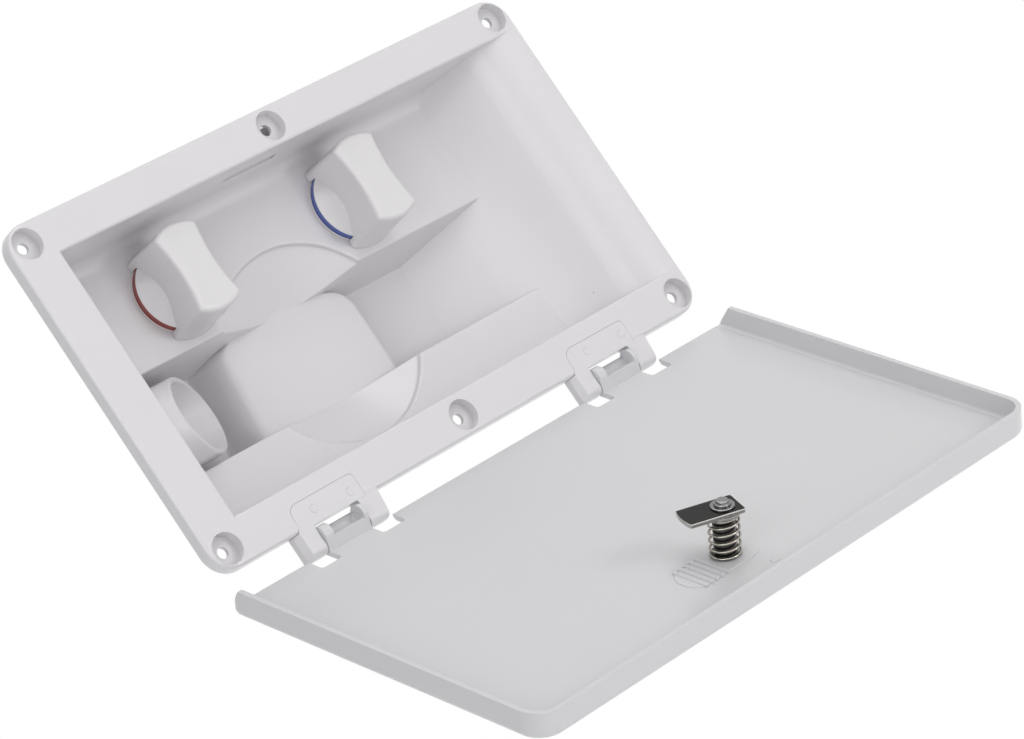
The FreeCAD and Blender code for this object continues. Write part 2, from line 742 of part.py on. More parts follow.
def make_hinge_clip(side, centre):
    """Snap-in panel with the hinge's left ear and its peg."""
    panel = prism("clip_panel_" + side, "XZ", FACE, "clip_thick", clip_outline(centre, "0"))
    right = "(%s - arm_width / 2 - arm_play)" % centre
    ear = prism("clip_ear_" + side, "XY", "(%s - ear_drop)" % BOTTOM, "(ear_drop - fit_gap)", [
        ("(%s - clip_ear_width)" % right, FACE),
        (right, FACE),
        (right, "0"),
        ("(%s - clip_ear_width - clip_ear_flare)" % right, "0"),
        ("(%s - clip_ear_width - clip_ear_flare)" % right, "(%s / 2)" % FACE, "1"),
    ])
    ear = common("clip_ear_round_" + side, ear, ear_profile("clip_ear_side_" + side, "(%s - clip_ear_width - 4)" % right,
                                                            "(clip_ear_width + 6)"))
    neck = block("clip_neck_" + side, ("(clip_ear_width - 0.5)", "clip_thick", "1"),
                 ("(%s - clip_ear_width + 0.5)" % right, FACE, "(%s - 0.5)" % BOTTOM))
    studs = [rod("clip_stud_%s_%d" % (side, i), "clip_stud / 2", "(clip_thick + clip_stud_depth)",
                 ("(%s + %s)" % (centre, stud), FACE, "(%s + clip_rise / 2)" % BOTTOM), "Y")
             for i, stud in enumerate(STUDS)]
    peg = hinge_peg("clip_peg_" + side, right, "(arm_play + left_cheek - peg_skin - peg_end_gap)", "X")
    return node(side + "_hinge_clip", fuse("clip_solid_" + side, panel, ear, neck, peg, *studs))


# Door, drawn closed over the flange and then swung open about the hinge line

DOOR_SWING = Placement(Vector(), Rotation(Vector(1, 0, 0), num("door_open")), Vector(0, num(PIVOT_Y), num(PIVOT_Z)))
CAM_TURN = Placement(Vector(), Rotation(Vector(0, 1, 0), -num("cam_angle")), Vector(num("latch_across"), 0, num(LATCH_Z)))
LATCH_SWING = DOOR_SWING.multiply(CAM_TURN)


def arm_outline():
    """Side outline of a hinge arm: from the panel's edge, tangent to a round knuckle at the pivot."""
    pivot = Vector(num(PIVOT_Y), num(PIVOT_Z), 0)
    outer = Vector(num(PANEL_OUT), num(PANEL_HINGE_EDGE) - num("arm_drop"), 0)
    inner = Vector(num(PANEL_IN), num(PANEL_HINGE_EDGE) + num("arm_rise"), 0)

    def touch(point, side):
        away = point - pivot
        lean = math.degrees(math.acos(num("knuckle_radius") / away.Length)) * side
        return math.degrees(math.atan2(away.y, away.x)) + lean

    low, high = touch(outer, 1), touch(inner, -1)
    text = "%s + knuckle_radius * %s(%.6f)"
    return [
        (PANEL_OUT, "(%s + arm_root)" % PANEL_HINGE_EDGE),
        (PANEL_OUT, "(%s - arm_drop)" % PANEL_HINGE_EDGE),
        (text % (PIVOT_Y, "cos", low), text % (PIVOT_Z, "sin", low)),
        (PIVOT_Y, PIVOT_Z),
        (text % (PIVOT_Y, "cos", high), text % (PIVOT_Z, "sin", high)),
        (PANEL_IN, "(%s + arm_rise)" % PANEL_HINGE_EDGE),
        (PANEL_IN, "(%s + arm_root)" % PANEL_HINGE_EDGE),
    ]


def make_arm(side, centre):
    """Hollow hinge arm: a round knuckle and its web, cored out between two cheeks and open towards the flange."""
    left = "(%s - arm_width / 2)" % centre
    knuckle = rod("arm_knuckle_" + side, "knuckle_radius", "arm_width", (left, PIVOT_Y, PIVOT_Z), "X")
    web = prism("arm_web_" + side, "YZ", left, "arm_width", arm_outline())
    start = "(%s + left_cheek)" % left
    width = "(arm_width - left_cheek - right_cheek)"
    radius = "(knuckle_radius - arm_skin)"
    hollow = rod("arm_hollow_" + side, radius, width, (start, PIVOT_Y, PIVOT_Z), "X")
    mouth = block("arm_mouth_" + side, (width, "(knuckle_radius + 1)", "(2 * %s)" % radius),
                  (start, PIVOT_Y, "(%s - %s)" % (PIVOT_Z, radius)))
    first, last = num(start), num("%s + %s" % (start, width))
    trough = soften("arm_trough_" + side, fuse("arm_core_" + side, hollow, mouth), "arm_pocket_round",
                    lambda e: near(e, x=first) or near(e, x=last))
    lips = block("arm_lips_" + side, (width, "(knuckle_radius + 1)", "(2 * knuckle_radius + 2)"),
                 (start, PIVOT_Y, "(%s - knuckle_radius - 1)" % PIVOT_Z))
    return cut("arm_" + side, fuse("arm_whole_" + side, knuckle, web), trough, lips)


def make_door():
    """The door's tray with its hinge arms, the latch's pad and ribs."""
    half = "door_width / 2"
    block_out = prism("door_block", "XZ", PANEL_OUT, "(rim_depth + door_skin)", [
        ("0 - " + half, PANEL_HINGE_EDGE, "hinge_edge_corner"), (half, PANEL_HINGE_EDGE, "hinge_edge_corner"),
        (half, DOOR_FREE_EDGE, "door_corner"), ("0 - " + half, DOOR_FREE_EDGE, "door_corner"),
    ])
    outside, hinge_edge = num(PANEL_OUT), num(PANEL_HINGE_EDGE)
    straight = hinge_edge + num("hinge_edge_corner") - 0.1
    block_out = soften("door_soft", block_out, "door_edge", lambda e: near(e, y=outside) and e.BoundBox.ZMin > straight)
    inner_half = "(door_width / 2 - rim_wall)"
    hollow = prism("door_hollow", "XZ", PANEL_IN, "(rim_depth + 2)", [
        ("0 - " + inner_half, "(%s - 2)" % PANEL_HINGE_EDGE), (inner_half, "(%s - 2)" % PANEL_HINGE_EDGE),
        (inner_half, "(%s - rim_wall)" % DOOR_FREE_EDGE, "(door_corner - rim_wall)"),
        ("0 - " + inner_half, "(%s - rim_wall)" % DOOR_FREE_EDGE, "(door_corner - rim_wall)"),
    ])
    inside = num(PANEL_IN)
    hollow = soften("door_hollow_soft", hollow, "1.6", lambda e: near(e, y=inside) and not near(e, z=hinge_edge - 2))
    rim_slant = prism("rim_slant", "YZ", "0 - %s - 1" % half, "(door_width + 2)", [
        (PANEL_IN, "(%s - 2)" % PANEL_HINGE_EDGE),
        ("(%s + 2)" % RIM_TOP, "(%s - 2)" % PANEL_HINGE_EDGE),
        ("(%s + 2)" % RIM_TOP, "(%s + rim_start + 1.3)" % BOTTOM),
        (PANEL_IN, PANEL_HINGE_EDGE),
    ])
    notches = []
    for side, centre in HINGES.items():
        ear = "(%s - arm_width / 2 - arm_play - clip_ear_width - clip_ear_flare - notch_gap)" % centre
        spans = [("left", ear, "(%s - arm_width / 2 - %s)" % (centre, ear)),
                 ("right", "(%s + arm_width / 2)" % centre, "(arm_gap + ear_width + notch_gap)")]
        for label, start, width in spans:
            notches.append(prism("notch_%s_%s" % (side, label), "XZ", "(%s - 1)" % PANEL_OUT, "(door_skin + 2)", [
                (start, "(%s - 2)" % PANEL_HINGE_EDGE), ("(%s + %s)" % (start, width), "(%s - 2)" % PANEL_HINGE_EDGE),
                ("(%s + %s)" % (start, width), "(%s + notch_depth)" % PANEL_HINGE_EDGE, "1.5"),
                (start, "(%s + notch_depth)" % PANEL_HINGE_EDGE, "1.5"),
            ]))
    arms = [make_arm(side, centre) for side, centre in HINGES.items()]
    pad_left, pad_right = "(latch_across + pad_reach - pad_length)", "(latch_across + pad_reach)"
    pad_low, pad_high = "(%s - pad_width / 2)" % PAD_Z, "(%s + pad_width / 2)" % PAD_Z
    pad = prism("latch_pad", "XZ", PANEL_IN, "pad_height", [
        (pad_left, pad_low, "pad_corner"), (pad_right, pad_low, "pad_corner"),
        (pad_right, pad_high, "pad_corner"), (pad_left, pad_high, "pad_corner"),
    ])
    pad_face = num("%s + pad_height" % PANEL_IN)
    pad = soften("latch_pad_soft", pad, "pad_height * 0.75", lambda e: near(e, y=pad_face))
    ribs = []
    for i in range(int(num("rib_count"))):
        start = "(latch_across - rib_first - rib_thick / 2 - %d * rib_pitch)" % i
        stop = "(%s + rib_thick)" % start
        low, high = "(%s - rib_length / 2)" % PAD_Z, "(%s + rib_length / 2)" % PAD_Z
        rib = prism("rib_%d" % i, "XZ", PANEL_IN, "(pad_height + rib_height)", [
            (start, low, "0.6"), (stop, low, "0.6"), (stop, high, "0.6"), (start, high, "0.6"),
        ])
        rib_face = num("%s + pad_height + rib_height" % PANEL_IN)
        ribs.append(soften("rib_soft_%d" % i, rib, "0.5", lambda e: near(e, y=rib_face)))
    bores = []
    for side, centre in HINGES.items():
        for label, sign, cheek, along in (("left", "-", "left_cheek", "X"), ("right", "+", "right_cheek", "-X")):
            bores.append(rod("arm_bore_%s_%s" % (side, label), "(peg_size / 2 + peg_clearance)", "(%s - peg_skin + 1)" % cheek,
                             ("(%s %s (arm_width / 2 + 1))" % (centre, sign), PIVOT_Y, PIVOT_Z), along))
    bush_hole = rod("bush_hole", "bush_radius", "(door_skin + pad_height + 2)",
                    ("latch_across", "(%s - 1)" % PANEL_OUT, LATCH_Z), "Y")
    spring_hole = rod("spring_hole", "(wire / 2 + fit_gap)", "(end_bend + wire + 0.3)",
                      ("(latch_across + coil_radius)", "(%s + pad_height + 0.1)" % PANEL_IN, "(%s + end_bend)" % LATCH_Z), "-Y")
    tray = cut("door_tray", block_out, hollow, rim_slant, *notches)
    whole = fuse("door_whole", tray, pad, *(ribs + arms))
    return node("door_panel", cut("door_solid", whole, bush_hole, spring_hole, *bores), DOOR_SWING)


def make_latch():
    """Lift-and-turn latch: the handle outside, the sprung shaft and the cam inside."""
    pad_top = "(%s + pad_height)" % PANEL_IN
    cam_low = "(%s + cam_height)" % PANEL_IN
    cam_high = "(%s + cam_thick)" % cam_low
    outside = "(%s - bush_flange_thick)" % PANEL_OUT
    bush = spun("bush", ("latch_across", "0", LATCH_Z), "Y", [
        ("(shaft_radius + shaft_running_gap)", outside), ("bush_flange", outside, "0.5"), ("bush_flange", PANEL_OUT),
        ("bush_radius", PANEL_OUT), ("bush_radius", pad_top), ("(shaft_radius + shaft_running_gap)", pad_top),
    ])
    node("latch_bush", bush, DOOR_SWING)
    shaft_start = "(%s - handle_height + 1.5)" % outside
    shaft = rod("shaft_rod", "shaft_radius", "(%s - %s)" % (cam_low, shaft_start),
                ("latch_across", shaft_start, LATCH_Z), "Y")
    neck = block("shaft_neck", ("cam_square", "cam_thick", "cam_square"),
                 ("(latch_across - cam_square / 2)", cam_low, "(%s - cam_square / 2)" % LATCH_Z))
    shank_hole = rod("shaft_rivet_hole", "rivet_shank", "(cam_thick + 8)",
                     ("latch_across", "(%s - 8)" % cam_low, LATCH_Z), "Y")
    flat = block("shaft_flat", ("2 * shaft_radius", "(handle_height - 1.5)", "1"),
                 ("(latch_across - shaft_radius)", shaft_start, "(%s + shaft_radius - 1)" % LATCH_Z))
    node("latch_shaft", cut("shaft_solid", fuse("shaft_body", shaft, neck), shank_hole, flat), LATCH_SWING)
    cam = prism("cam_blank", "XZ", cam_low, "cam_thick", [
        ("(latch_across - cam_reach)", "(%s - cam_width / 2)" % LATCH_Z, "1.8"),
        ("(latch_across + cam_heel)", "(%s - cam_width / 2)" % LATCH_Z, "1.2"),
        ("(latch_across + cam_heel)", "(%s + cam_width / 2)" % LATCH_Z, "1.2"),
        ("(latch_across - cam_reach)", "(%s + cam_width / 2)" % LATCH_Z, "1.8"),
    ])
    tip = rod("cam_tip", "cam_tip_round", "cam_thick",
              ("(latch_across - cam_reach + cam_tip_round)", cam_low, LATCH_Z), "Y")
    heel = block("cam_heel_block", ("(cam_reach / 2 + cam_heel)", "cam_thick", "cam_width"),
                 ("(latch_across - cam_reach / 2)", cam_low, "(%s - cam_width / 2)" % LATCH_Z))
    shaped = common("cam_shaped", cam, fuse("cam_limit", tip, heel))
    square = block("cam_hole", ("(cam_square + fit_gap)", "(cam_thick + 2)", "(cam_square + fit_gap)"),
                   ("(latch_across - cam_square / 2 - fit_gap / 2)", "(%s - 1)" % cam_low,
                    "(%s - cam_square / 2 - fit_gap / 2)" % LATCH_Z))
    holed = cut("cam_holed", shaped, square)
    high, low = num(cam_high), num(cam_low)
    hole = num("cam_square") + 0.5
    rounded = soften("cam_soft", holed, "0.35", lambda e: (near(e, y=high) or near(e, y=low)) and e.Length > hole)
    node("cam_plate", rounded, LATCH_SWING)
    washer = spun("rivet_washer", ("latch_across", "0", LATCH_Z), "Y", [
        ("(rivet_shank + fit_gap)", cam_high), ("rivet_washer_radius", cam_high),
        ("rivet_washer_radius", "(%s + rivet_washer_thick)" % cam_high, "0.4"),
        ("(rivet_shank + fit_gap)", "(%s + rivet_washer_thick)" % cam_high),
    ])
    node("cam_washer", washer, DOOR_SWING)
    rivet_low = "(%s + rivet_washer_thick)" % cam_high
    rivet = spun("rivet", ("latch_across", "0", LATCH_Z), "Y", [
        ("0", "(%s - 6)" % cam_low), ("(rivet_shank - 0.02)", "(%s - 6)" % cam_low),
        ("(rivet_shank - 0.02)", rivet_low), ("rivet_radius", rivet_low),
        ("rivet_radius", "(%s + rivet_height * 0.45)" % rivet_low, "0.4"),
        ("(rivet_radius * 0.76)", "(%s + rivet_height * 0.45)" % rivet_low),
        ("(rivet_radius * 0.76)", "(%s + rivet_height)" % rivet_low, "0.7"),
        ("0", "(%s + rivet_height)" % rivet_low),
    ])
    node("cam_rivet", rivet, DOOR_SWING)
    thrust_ring = spun("thrust", ("latch_across", "0", LATCH_Z), "Y", [
        ("(shaft_radius + 2 * shaft_running_gap)", "(%s - fit_gap - thrust_thick)" % cam_low),
        ("thrust_radius", "(%s - fit_gap - thrust_thick)" % cam_low), ("thrust_radius", "(%s - fit_gap)" % cam_low),
        ("(shaft_radius + 2 * shaft_running_gap)", "(%s - fit_gap)" % cam_low),
    ])
    far_end = "(coil_turns * 360)"
    end_hole = rod("thrust_hole", "(wire / 2 + fit_gap)", "(thrust_thick + 2)",
                   ("(latch_across + coil_radius * cos(%s) - end_bend * sin(%s))" % (far_end, far_end),
                    "(%s - thrust_thick - 1)" % cam_low,
                    "(%s - coil_radius * sin(%s) - end_bend * cos(%s))" % (LATCH_Z, far_end, far_end)), "Y")
    node("spring_washer", cut("thrust_solid", thrust_ring, end_hole), DOOR_SWING)
    handle_top = "(%s - latch_gap)" % outside
    hub = rod("handle_hub", "handle_hub", "(handle_height * 0.55)", ("latch_across", handle_top, LATCH_Z), "-Y")
    outer_face = num("%s - handle_height * 0.55" % handle_top)
    hub = soften("handle_hub_soft", hub, "1.2", lambda e: near(e, y=outer_face))
    grip = prism("handle_grip", "XZ", "(%s - handle_height)" % handle_top, "handle_height", [
        ("(latch_across - handle_length * 0.62)", "(%s - handle_width / 2)" % LATCH_Z, "handle_width * 0.42"),
        ("(latch_across + handle_length * 0.38)", "(%s - handle_width / 2)" % LATCH_Z, "handle_width * 0.42"),
        ("(latch_across + handle_length * 0.38)", "(%s + handle_width / 2)" % LATCH_Z, "handle_width * 0.42"),
        ("(latch_across - handle_length * 0.62)", "(%s + handle_width / 2)" % LATCH_Z, "handle_width * 0.42"),
    ])
    grip_face = num("%s - handle_height" % handle_top)
    grip = soften("handle_grip_soft", grip, "1.5", lambda e: near(e, y=grip_face))
    socket = rod("handle_socket", "(shaft_radius + 0.02)", "(handle_height - 1.4)",
                 ("latch_across", handle_top, LATCH_Z), "-Y")
    key = block("handle_key", ("2 * shaft_radius + 1", "(handle_height - 1.4)", "1.2"),
                ("(latch_across - shaft_radius - 0.5)", "(%s - handle_height + 1.4)" % handle_top,
                 "(%s + shaft_radius - 0.96)" % LATCH_Z))
    handle = cut("handle_solid", fuse("handle_body", hub, grip), cut("handle_bore", socket, key))
    node("latch_handle", handle, LATCH_SWING)


def biarc(p0, t0, p1, t1):
    """Two tangent arcs from one point and direction to another."""
    chord = p1 - p0
    both = t0 + t1
    spread = 2 * (1 - t0.dot(t1))
    reach = (-chord.dot(both) + math.sqrt(chord.dot(both) ** 2 + spread * chord.dot(chord))) / spread
    c0, c1 = p0 + t0 * reach, p1 - t1 * reach
    joint = (c0 + c1) * 0.5
    edges = []
    for start, corner, stop in ((p0, c0, joint), (joint, c1, p1)):
        middle = (start + stop) * 0.5
        half = (stop - start).Length / 2
        rise = corner - middle
        lean = math.atan2(rise.Length, half)
        on_arc = middle + rise * (math.tan(lean / 2) / math.tan(lean))
        edges.append(Part.Arc(start, on_arc, stop).toShape())
    return edges


def spring_path(base, rise):
    """Centre line of the coil: quarter-turn biarcs, with each end bent over to run straight into its seat."""
    radius, wire, bend = num("coil_radius"), num("wire"), num("end_bend")
    turns = num("coil_turns")
    steps = int(round(turns * 4))
    slope = rise / (turns * 2 * math.pi)
    sweep = turns * 2 * math.pi

    def at(angle):
        return base + Vector(radius * math.cos(angle), slope * angle, -radius * math.sin(angle))

    def heading(angle):
        return Vector(-radius * math.sin(angle), slope, -radius * math.cos(angle)).normalize()

    up = Vector(0, 1, 0)
    first, last = at(0), at(sweep)
    start_turn = first - heading(0) * bend - up * bend
    end_turn = last + heading(sweep) * bend + up * bend
    edges = [Part.LineSegment(start_turn - up * wire, start_turn).toShape()]
    edges += biarc(start_turn, up, first, heading(0))
    for i in range(steps):
        a, b = i * math.pi / 2, (i + 1) * math.pi / 2
        edges += biarc(at(a), heading(a), at(b), heading(b))
    edges += biarc(last, heading(sweep), end_turn, up)
    edges.append(Part.LineSegment(end_turn, end_turn + up * wire).toShape())
    return Part.Wire(edges)


def make_spring():
    """Round-wire spring between the door's pad and the washer under the cam."""
    low = num(PANEL_IN) + num("pad_height") + num("coil_clear")
    high = num(PANEL_IN) + num("cam_height") - num("fit_gap") - num("thrust_thick") - num("end_bend")
    path = spring_path(Vector(num("latch_across"), low, num(LATCH_Z)), high - low)
    start = path.Edges[0].Vertexes[0].Point
    section = Part.Wire(Part.Circle(start, Vector(0, 1, 0), num("wire") / 2).toShape())
    tube = path.makePipeShell([section], True, False)
    made = doc.addObject("Part::Feature", "spring")
    made.Shape = tube
    expected = math.pi * (num("wire") / 2) ** 2 * path.Length
    print("spring volume %.2f, section times length %.2f" % (tube.Volume, expected))
    points = path.discretize(Distance=0.8)
    far = 3 * num("coil_radius") / 2
    gaps = [(a - b).Length for i, a in enumerate(points) for b in points[i + 1:]
            if (points.index(b) - i) * 0.8 > far]
    print("spring's least gap to itself %.2f" % (min(gaps) - num("wire")))
    return node("latch_spring", made, DOOR_SWING)


# Taps: a knob on a spindle, a ceramic disc pair and a valve body behind the shelf

def round_edges(body, name, radius, wanted):
    """Add a rounding feature to a body, on the edges that a test picks."""
    doc.recompute()
    edges = ["Edge%d" % i for i, edge in enumerate(body.Shape.Edges, start=1) if wanted(edge)]
    made = body.newObject("PartDesign::Fillet", name)
    made.Base = (body.Tip if body.Tip != made else made.BaseFeature, edges)
    bind(made, "Radius", radius)
    doc.recompute()
    print(name, len(edges), "edges rounded")


def make_knob(side, x):
    """Knob with a waisted grip bar across a round foot, with a sloping scoop each side."""
    body = doc.addObject("PartDesign::Body", side + "_knob_body")
    planes = {part.Role: part for part in body.Origin.OriginFeatures if hasattr(part, "Role")}

    def sketch(label, plane, corners):
        made = body.newObject("Sketcher::SketchObject", "%s_%s" % (side, label))
        made.AttachmentSupport = [(planes[plane], "")]
        made.MapMode = "FlatFace"
        outline(made, corners)
        return made

    def revolve(label, kind, profile):
        made = body.newObject(kind, "%s_%s" % (side, label))
        made.Profile = profile
        made.ReferenceAxis = (planes["Y_Axis"], [""])
        made.Angle = 360
        return made

    blank = sketch("knob_blank", "YZ_Plane", [
        (KNOB_TOP, "0"), (KNOB_TOP, "knob_top_radius"),
        (KNOB_BASE, "knob_base_radius"), (KNOB_BASE, "(ring_radius + ring_skirt_gap)"),
        (RING_TOP, "(ring_radius + ring_skirt_gap)"), (RING_TOP, "0"),
    ])
    revolve("knob_turned", "PartDesign::Revolution", blank)
    doc.recompute()
    volume = body.Shape.Volume
    for label, sign in (("right", ""), ("left", "0 - ")):
        waist = body.newObject("Sketcher::SketchObject", "%s_%s_scoop" % (side, label))
        waist.AttachmentSupport = [(planes["XZ_Plane"], "")]
        waist.MapMode = "FlatFace"
        waist_outline(waist, sign)
        pocket = body.newObject("PartDesign::Pocket", "%s_%s_scoop_cut" % (side, label))
        pocket.Profile = waist
        pocket.Type = "ThroughAll"
        pocket.Midplane = True
        doc.recompute()
        if not body.Shape.Volume < volume - 1000:
            raise ValueError("the %s scoop cut nothing" % label)
        volume = body.Shape.Volume
    long = num("knob_height") / 2
    waist = num("knob_waist") / 2

    def bar_corner(edge):
        box = edge.BoundBox
        return box.YLength > long and box.XLength < 5 and abs(box.Center.z) > waist and abs(box.Center.x) > waist

    round_edges(body, side + "_knob_side_round", "knob_side_round", bar_corner)
    top = num(KNOB_TOP)
    round_edges(body, side + "_knob_round", "knob_round", lambda e: near(e, y=top))
    foot = sketch("knob_foot", "XY_Plane", [
        ("0", "(%s - scoop_rise)" % RING_TOP), ("scoop_foot", "(%s - scoop_rise)" % RING_TOP),
        ("ring_radius", "(%s - 0.4)" % RING_TOP), ("ring_radius", RING_TOP), ("0", RING_TOP),
    ])
    revolve("knob_foot_turned", "PartDesign::Revolution", foot)
    doc.recompute()
    under = sketch("knob_under", "XY_Plane", [
        ("0", "(%s - 1.2)" % RING_TOP), ("(ring_bore - 0.6)", "(%s - 1.2)" % RING_TOP),
        ("(ring_bore - 0.6)", "(%s + 1)" % RING_TOP), ("0", "(%s + 1)" % RING_TOP),
    ])
    revolve("knob_under_cut", "PartDesign::Groove", under)
    bore = sketch("knob_bore", "XY_Plane", [
        ("0", "(%s - spindle_in_knob)" % RING_TOP),
        ("(spindle_radius + 0.02)", "(%s - spindle_in_knob)" % RING_TOP),
        ("(spindle_radius + 0.02)", RING_TOP), ("0", RING_TOP),
    ])
    revolve("knob_bore_cut", "PartDesign::Groove", bore)
    doc.recompute()
    node(side + "_knob", body)
    place(body, (x, "0", "tap_height"))


def waist_outline(sketch, sign):
    """The part of a knob's round blank that lies outside its waisted bar."""
    waist, curve, reach = num("knob_waist") / 2, num("knob_waist_round"), num("knob_base_radius") + 2
    flip = -1 if sign else 1
    edge = waist + curve - math.sqrt(curve ** 2 - reach ** 2)
    low, high = Vector(flip * edge, -reach, 0), Vector(flip * edge, reach, 0)
    far_low, far_high = Vector(flip * reach, -reach, 0), Vector(flip * reach, reach, 0)
    circle = Part.Circle(Vector(flip * (waist + curve), 0, 0), Vector(0, 0, 1), curve)
    spread = math.asin(reach / curve)
    facing = 0 if sign else math.pi
    arc = sketch.addGeometry(Part.ArcOfCircle(circle, facing - spread, facing + spread), False)
    lines = [sketch.addGeometry(Part.LineSegment(a, b), False)
             for a, b in ((high, far_high), (far_high, far_low), (far_low, low))]
    arc_low, arc_high = (1, 2) if sign else (2, 1)
    sketch.addConstraint(Sketcher.Constraint("Coincident", arc, arc_high, lines[0], 1))
    sketch.addConstraint(Sketcher.Constraint("Coincident", lines[0], 2, lines[1], 1))
    sketch.addConstraint(Sketcher.Constraint("Coincident", lines[1], 2, lines[2], 1))
    sketch.addConstraint(Sketcher.Constraint("Coincident", lines[2], 2, arc, arc_low))
    corner = "(knob_base_radius + 2)"
    bound_point(sketch, lines[1], 1, sign + corner, corner, "high")
    bound_point(sketch, lines[1], 2, sign + corner, "0 - " + corner, "low")
    bound_point(sketch, arc, 3, sign + "(knob_waist / 2 + knob_waist_round)", "0", "centre")
    sketch.addConstraint(Sketcher.Constraint("Horizontal", lines[0]))
    sketch.addConstraint(Sketcher.Constraint("Horizontal", lines[2]))
    index = sketch.addConstraint(Sketcher.Constraint("Radius", arc, curve))
    sketch.renameConstraint(index, "curve")
    bind(sketch, "Constraints.curve", "knob_waist_round")


def make_tap(side, x):
    """One tap: knob and ring, spindle, the two discs and their seal, the body's nut and seal, and its inlet."""
    make_knob(side, x)
    height = "tap_height"
    ring = spun(side + "_ring", (x, "0", height), "Y", [
        ("ring_bore", RING_TOP), ("ring_radius", RING_TOP), ("ring_radius", KNOB_BASE, "0.4"), ("ring_bore", KNOB_BASE),
    ])
    node(side + "_colour_ring", ring)
    spindle_front = "(%s - spindle_in_knob + fit_gap)" % RING_TOP
    stem = rod(side + "_stem", "spindle_radius", "(%s + latch_gap + 0.5 - %s)" % (CHAMBER_FRONT, spindle_front),
               (x, spindle_front, height), "Y")
    head = rod(side + "_head", "head_radius", "head_thick", (x, "(%s + latch_gap)" % CHAMBER_FRONT, height), "Y")
    tongue = block(side + "_tongue", ("tongue_length", "tongue_depth", "tongue_width"),
                   ("(%s - tongue_length / 2)" % x, HEAD_BACK, "(%s - tongue_width / 2)" % height))
    node(side + "_spindle", fuse(side + "_spindle_solid", stem, head, tongue))
    disc = rod(side + "_disc", "head_radius", "disc_thick", (x, DISC_TURN, height), "Y")
    slot = block(side + "_disc_slot", ("(tongue_length + fit_gap)", "tongue_depth", "(tongue_width + fit_gap)"),
                 ("(%s - tongue_length / 2 - fit_gap / 2)" % x, DISC_TURN,
                  "(%s - tongue_width / 2 - fit_gap / 2)" % height))
    port = rod(side + "_disc_port", "disc_port_radius", "(disc_thick + 2)",
               (x, "(%s - 1)" % DISC_TURN, "(%s + disc_port_out)" % height), "Y")
    node(side + "_turning_disc", cut(side + "_turning_solid", disc, slot, port))
    plate = rod(side + "_plate", "(chamber_radius - 0.05)", "disc_thick", (x, DISC_FIXED, height), "Y")
    ports = [rod(side + "_plate_port_%d" % i, "disc_port_radius", "(disc_thick + 2)",
                 ("(%s %s disc_port_out)" % (x, sign), "(%s - 1)" % DISC_FIXED, height), "Y")
             for i, sign in enumerate("-+")]
    node(side + "_fixed_disc", cut(side + "_fixed_solid", plate, *ports))
    seal = spun(side + "_disc_seal_ring", (x, "0", height), "Y", [
        ("(chamber_radius - 2.2)", DISC_SEAL), ("(chamber_radius - 0.1)", DISC_SEAL),
        ("(chamber_radius - 0.1)", TAIL_FRONT), ("(chamber_radius - 2.2)", TAIL_FRONT),
    ])
    node(side + "_disc_seal", seal)
    make_valve_body(side, x, height)
    nut = hexagon(side + "_panel_nut_solid", "panel_nut_flats", "panel_nut_height", (x, SHELF, height), "-Y",
                  "(shank_radius + 0.02)")
    node(side + "_panel_nut", nut)
    washer = spun(side + "_panel_seal_ring", (x, "0", height), "Y", [
        ("(shank_radius + shank_hole_gap)", SHELF_BACK), ("seal_radius", SHELF_BACK),
        ("seal_radius", VALVE_FRONT), ("(shank_radius + shank_hole_gap)", VALVE_FRONT),
    ])
    node(side + "_panel_seal", washer)
    make_tail(side + "_inlet_tail", (x, VALVE_BACK, height), "(%s - %s)" % (VALVE_BACK, TAIL_FRONT),
              "(chamber_radius - 0.03)")


def make_valve_body(side, x, height):
    """Brass body: a threaded shank through the shelf, a flange behind it and a port to the mixing pipe."""
    front = "(%s - shank_front)" % SHELF
    outside = spun(side + "_valve_outside", (x, "0", height), "Y", [
        ("0", front), ("shank_radius", front, "0.6"), ("shank_radius", VALVE_FRONT),
        ("valve_flange_radius", VALVE_FRONT), ("valve_flange_radius", "(%s + valve_flange_thick)" % VALVE_FRONT, "0.8"),
        ("valve_radius", "(%s + valve_flange_thick)" % VALVE_FRONT), ("valve_radius", VALVE_BACK),
        ("0", VALVE_BACK),
    ])
    inward = "X" if side == "hot" else "-X"
    sign = "+" if side == "hot" else "-"
    port = rod(side + "_port", "port_radius", "port_reach", (x, PORT_Y, height), inward)
    chamber = rod(side + "_chamber", "chamber_radius", "(%s - %s + 1)" % (VALVE_BACK, CHAMBER_FRONT),
                  (x, CHAMBER_FRONT, height), "Y")
    bore = rod(side + "_stem_bore", "(spindle_radius + spindle_gap)", "(%s - %s + 2)" % (CHAMBER_FRONT, front),
               (x, "(%s - 1)" % front, height), "Y")
    socket = rod(side + "_port_socket", "(manifold_radius + 0.02)", "(port_reach - valve_radius)",
                 ("(%s %s (valve_radius + 1))" % (x, sign), PORT_Y, height), inward)
    passage = rod(side + "_port_bore", "manifold_bore", "port_reach", (x, PORT_Y, height), inward)
    whole = fuse(side + "_valve_whole", outside, port)
    node(side + "_valve_body", cut(side + "_valve_solid", whole, chamber, bore, socket, passage))


